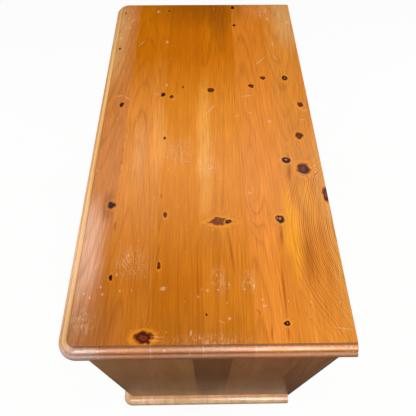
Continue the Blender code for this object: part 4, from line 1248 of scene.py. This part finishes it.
slot_size = add(screws, "ShaderNodeCombineXYZ", {0: block, 1: given["Slot width"], 2: slot_height})
slot = raised(screws, add(screws, "GeometryNodeMeshCube", {"Size": slot_size}), given["Head height"])
screw = add(screws, "GeometryNodeMeshBoolean", {0: screw, 1: slot}, operation="DIFFERENCE", solver="EXACT")
screw = add(screws, "GeometryNodeTransform", {"Geometry": screw, "Rotation": (-math.pi / 2, 0, 0)})
spin = add(screws, "FunctionNodeRandomValue", {"Max": math.pi, "Seed": given["Seed"]}, data_type="FLOAT")
spin = add(screws, "ShaderNodeCombineXYZ", {"Y": spin})
row = {"Points": given["Seats"], "Instance": screw, "Rotation": spin}
row = add(screws, "GeometryNodeInstanceOnPoints", row)
row = add(screws, "GeometryNodeRealizeInstances", {"Geometry": row})
row = add(screws, "GeometryNodeSetMaterial", {"Geometry": row, "Material": given["Finish"]})
add(screws, "NodeGroupOutput", {"Screws": row})

for number, drawer in enumerate(DRAWERS):
    nodes = [node for node, body in body_of.items() if body == drawer and node.endswith("_screw")]
    seats = []
    for node in nodes:
        low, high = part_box(node)
        seats.append(((low.x + high.x) / 2, high.y - SCREW_HEAD_HEIGHT, (low.z + high.z) / 2))
    screw_sizes = {
        "Head diameter": SCREW_HEAD_DIAMETER, "Head height": SCREW_HEAD_HEIGHT,
        "Shank diameter": SCREW_SHANK_DIAMETER, "Length": seats[0][1] - low.y, "Tip": SCREW_TIP,
        "Slot width": SCREW_SLOT_WIDTH, "Slot depth": SCREW_SLOT_DEPTH, "Seed": SCREW_SEED + number,
        "Finish": zinc_steel,
    }
    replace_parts(driven(drawer + "_knob_screws", screws, seats, screw_sizes, drawer), *nodes)


# Floor
# Matt studio floor, white to the lens and in reflections, which still takes the dresser's shadow.
# To the light it is mid grey, so that it throws little back on the ends of the case.
FLOOR_SIZE = 40.0
FLOOR_WHITE = 0.92


def seen_rays(tree):
    """1 for rays of the lens and of reflections, 0 for those of the light."""
    rays = add(tree, "ShaderNodeLightPath").outputs
    seen = rays["Is Camera Ray"]
    for kind in ("Is Glossy Ray", "Is Transmission Ray"):
        seen = add(tree, "ShaderNodeMath", {0: seen, 1: rays[kind]}, operation="MAXIMUM")
    return seen


floor_shape = bmesh.new()
bmesh.ops.create_grid(floor_shape, x_segments=4, y_segments=4, size=FLOOR_SIZE / 2)
floor_paint, tree = new_material("Matt white studio floor")
tree.nodes.remove(tree.nodes["Principled BSDF"])
seen = seen_rays(tree)
floor_shades = {"Factor": seen, "A": linear("8F8C86"), "B": linear("F6F5F2")}
floor_colour = add(tree, "ShaderNodeMix", floor_shades, data_type="RGBA")
matt = add(tree, "ShaderNodeBsdfDiffuse", {"Color": floor_colour})
white = add(tree, "ShaderNodeEmission", {"Color": linear("FFFFFF"), "Strength": 1.0})
share_white = add(tree, "ShaderNodeMath", {0: seen, 1: FLOOR_WHITE}, operation="MULTIPLY")
floor_mix = add(tree, "ShaderNodeMixShader", {0: share_white, 1: matt, 2: white})
feed(tree, tree.nodes["Material Output"], {"Surface": floor_mix})
set_out("studio_floor", floor_shape, floor_paint)


# Studio light
# A soft lamp over the near end, a panel past the far end, a strip at the near end, and fills for the
# front and the back. Cards round the set are all that the lacquer mirrors of them.
AIR_LIGHT = 0.12
# Lamps: place, the point they face, width, height and watts.
LAMPS = {
    "overhead_lamp": ((1.10, 0.35, 3.20), (0.0, 0.0, 0.6), 1.2, 1.2, 49.5),
    "far_panel": ((-1.90, 0.0, 3.30), (0.05, 0.0, 0.7), 3.0, 0.9, 22.0),
    "near_strip": ((1.90, 0.0, 2.00), (0.45, 0.0, 0.6), 2.4, 0.3, 8.4),
    "front_panel": ((0.10, -2.40, 1.70), (0.0, -0.2, 0.5), 1.6, 0.8, 30.0),
    "back_fill": ((-0.30, 2.60, 0.95), (0.0, 0.2, 0.4), 1.6, 0.8, 32.0),
}
# Dark cards keep the depth of the colour and bright ones draw light along the near mouldings: place,
# the point they face, width, height and glow, where 1 is white.
CARDS = {
    "far_card": ((-2.65, 0.0, 1.85), (0.0, 0.0, 1.85), 7.0, 3.7, 0.01),
    "ceiling_card": ((1.05, 0.0, 3.80), (1.05, -0.01, 0.0), 5.1, 7.0, 0.01),
    # The floor card is painted shadow: a dark sheet on the floor by the near end that reflections see in
    # place of the shaded floor.
    "floor_shadow_card": ((1.265, 0.0, 0.004), (1.265, 0.01, 2.0), 1.73, 3.0, 0.02),
    "near_window": ((1.88, 0.55, 2.62), (0.28, 0.05, 0.87), 0.85, 1.9, 21.0),
    "corner_window": ((1.89, -0.87, 2.63), (0.29, -0.07, 0.88), 0.50, 1.9, 17.0),
}

for lamp_name, (place, target, width, height, watts) in LAMPS.items():
    lamp = bpy.data.lights.new(lamp_name, "AREA")
    lamp.shape = "RECTANGLE"
    lamp.size = width
    lamp.size_y = height
    lamp.energy = watts
    holder = bpy.data.objects.new(lamp_name, lamp)
    holder.location = place
    holder.rotation_euler = (Vector(target) - Vector(place)).to_track_quat("-Z", "Y").to_euler()
    holder.visible_glossy = False
    scene.collection.objects.link(holder)
for card_name, (place, target, width, height, glow) in CARDS.items():
    card_face, tree = new_material(card_name)
    tree.nodes.remove(tree.nodes["Principled BSDF"])
    light = add(tree, "ShaderNodeEmission", {"Color": linear("FFFFFF"), "Strength": glow})
    feed(tree, tree.nodes["Material Output"], {"Surface": light})
    card_shape = bmesh.new()
    bmesh.ops.create_grid(card_shape, x_segments=1, y_segments=1, size=0.5)
    bmesh.ops.scale(card_shape, verts=card_shape.verts, vec=(width, height, 1))
    facing = (Vector(target) - Vector(place)).to_track_quat("Z", "Y").to_matrix().to_4x4()
    bmesh.ops.transform(card_shape, matrix=Matrix.Translation(place) @ facing, verts=card_shape.verts)
    card = set_out(card_name, card_shape, card_face)
    card.visible_camera = False
    card.visible_diffuse = False
    card.visible_transmission = False
    card.visible_shadow = False
world = bpy.data.worlds.new("studio_air")
world.use_nodes = True
tree = world.node_tree
air_strength = add(tree, "ShaderNodeMapRange", {"Value": seen_rays(tree), **span(0, 1, AIR_LIGHT, 1)})
feed(tree, tree.nodes["Background"], {"Color": linear("FFFFFF"), "Strength": air_strength})
scene.world = world
scene.view_settings.view_transform = "Standard"


# Camera
# Held above the near end of the dresser and tipped down, so the whole top is seen.
LENS = 34.32
CLIP_START = 0.01
CAMERA_PLACE = (0.5751, 0.0005, 1.3022)
CAMERA_YAW = 1.1354
CAMERA_PITCH = 57.9276
CAMERA_ROLL = -0.4066

yaw = math.radians(CAMERA_YAW)
pitch = math.radians(CAMERA_PITCH)
roll = math.radians(CAMERA_ROLL)
level = Vector((-math.cos(yaw), math.sin(yaw), 0))
rightward = Vector((math.sin(yaw), math.cos(yaw), 0))
forward = math.cos(pitch) * level - math.sin(pitch) * Vector((0, 0, 1))
downward = -math.sin(pitch) * level - math.cos(pitch) * Vector((0, 0, 1))
image_right = math.cos(roll) * rightward + math.sin(roll) * downward
image_down = -math.sin(roll) * rightward + math.cos(roll) * downward
camera_data = bpy.data.cameras.new("camera")
camera_data.lens = LENS
camera_data.clip_start = CLIP_START
camera = bpy.data.objects.new("camera", camera_data)
turn = Matrix((image_right, -image_down, -forward)).transposed()
camera.matrix_world = Matrix.Translation(CAMERA_PLACE) @ turn.to_4x4()
scene.collection.objects.link(camera)
scene.camera = camera
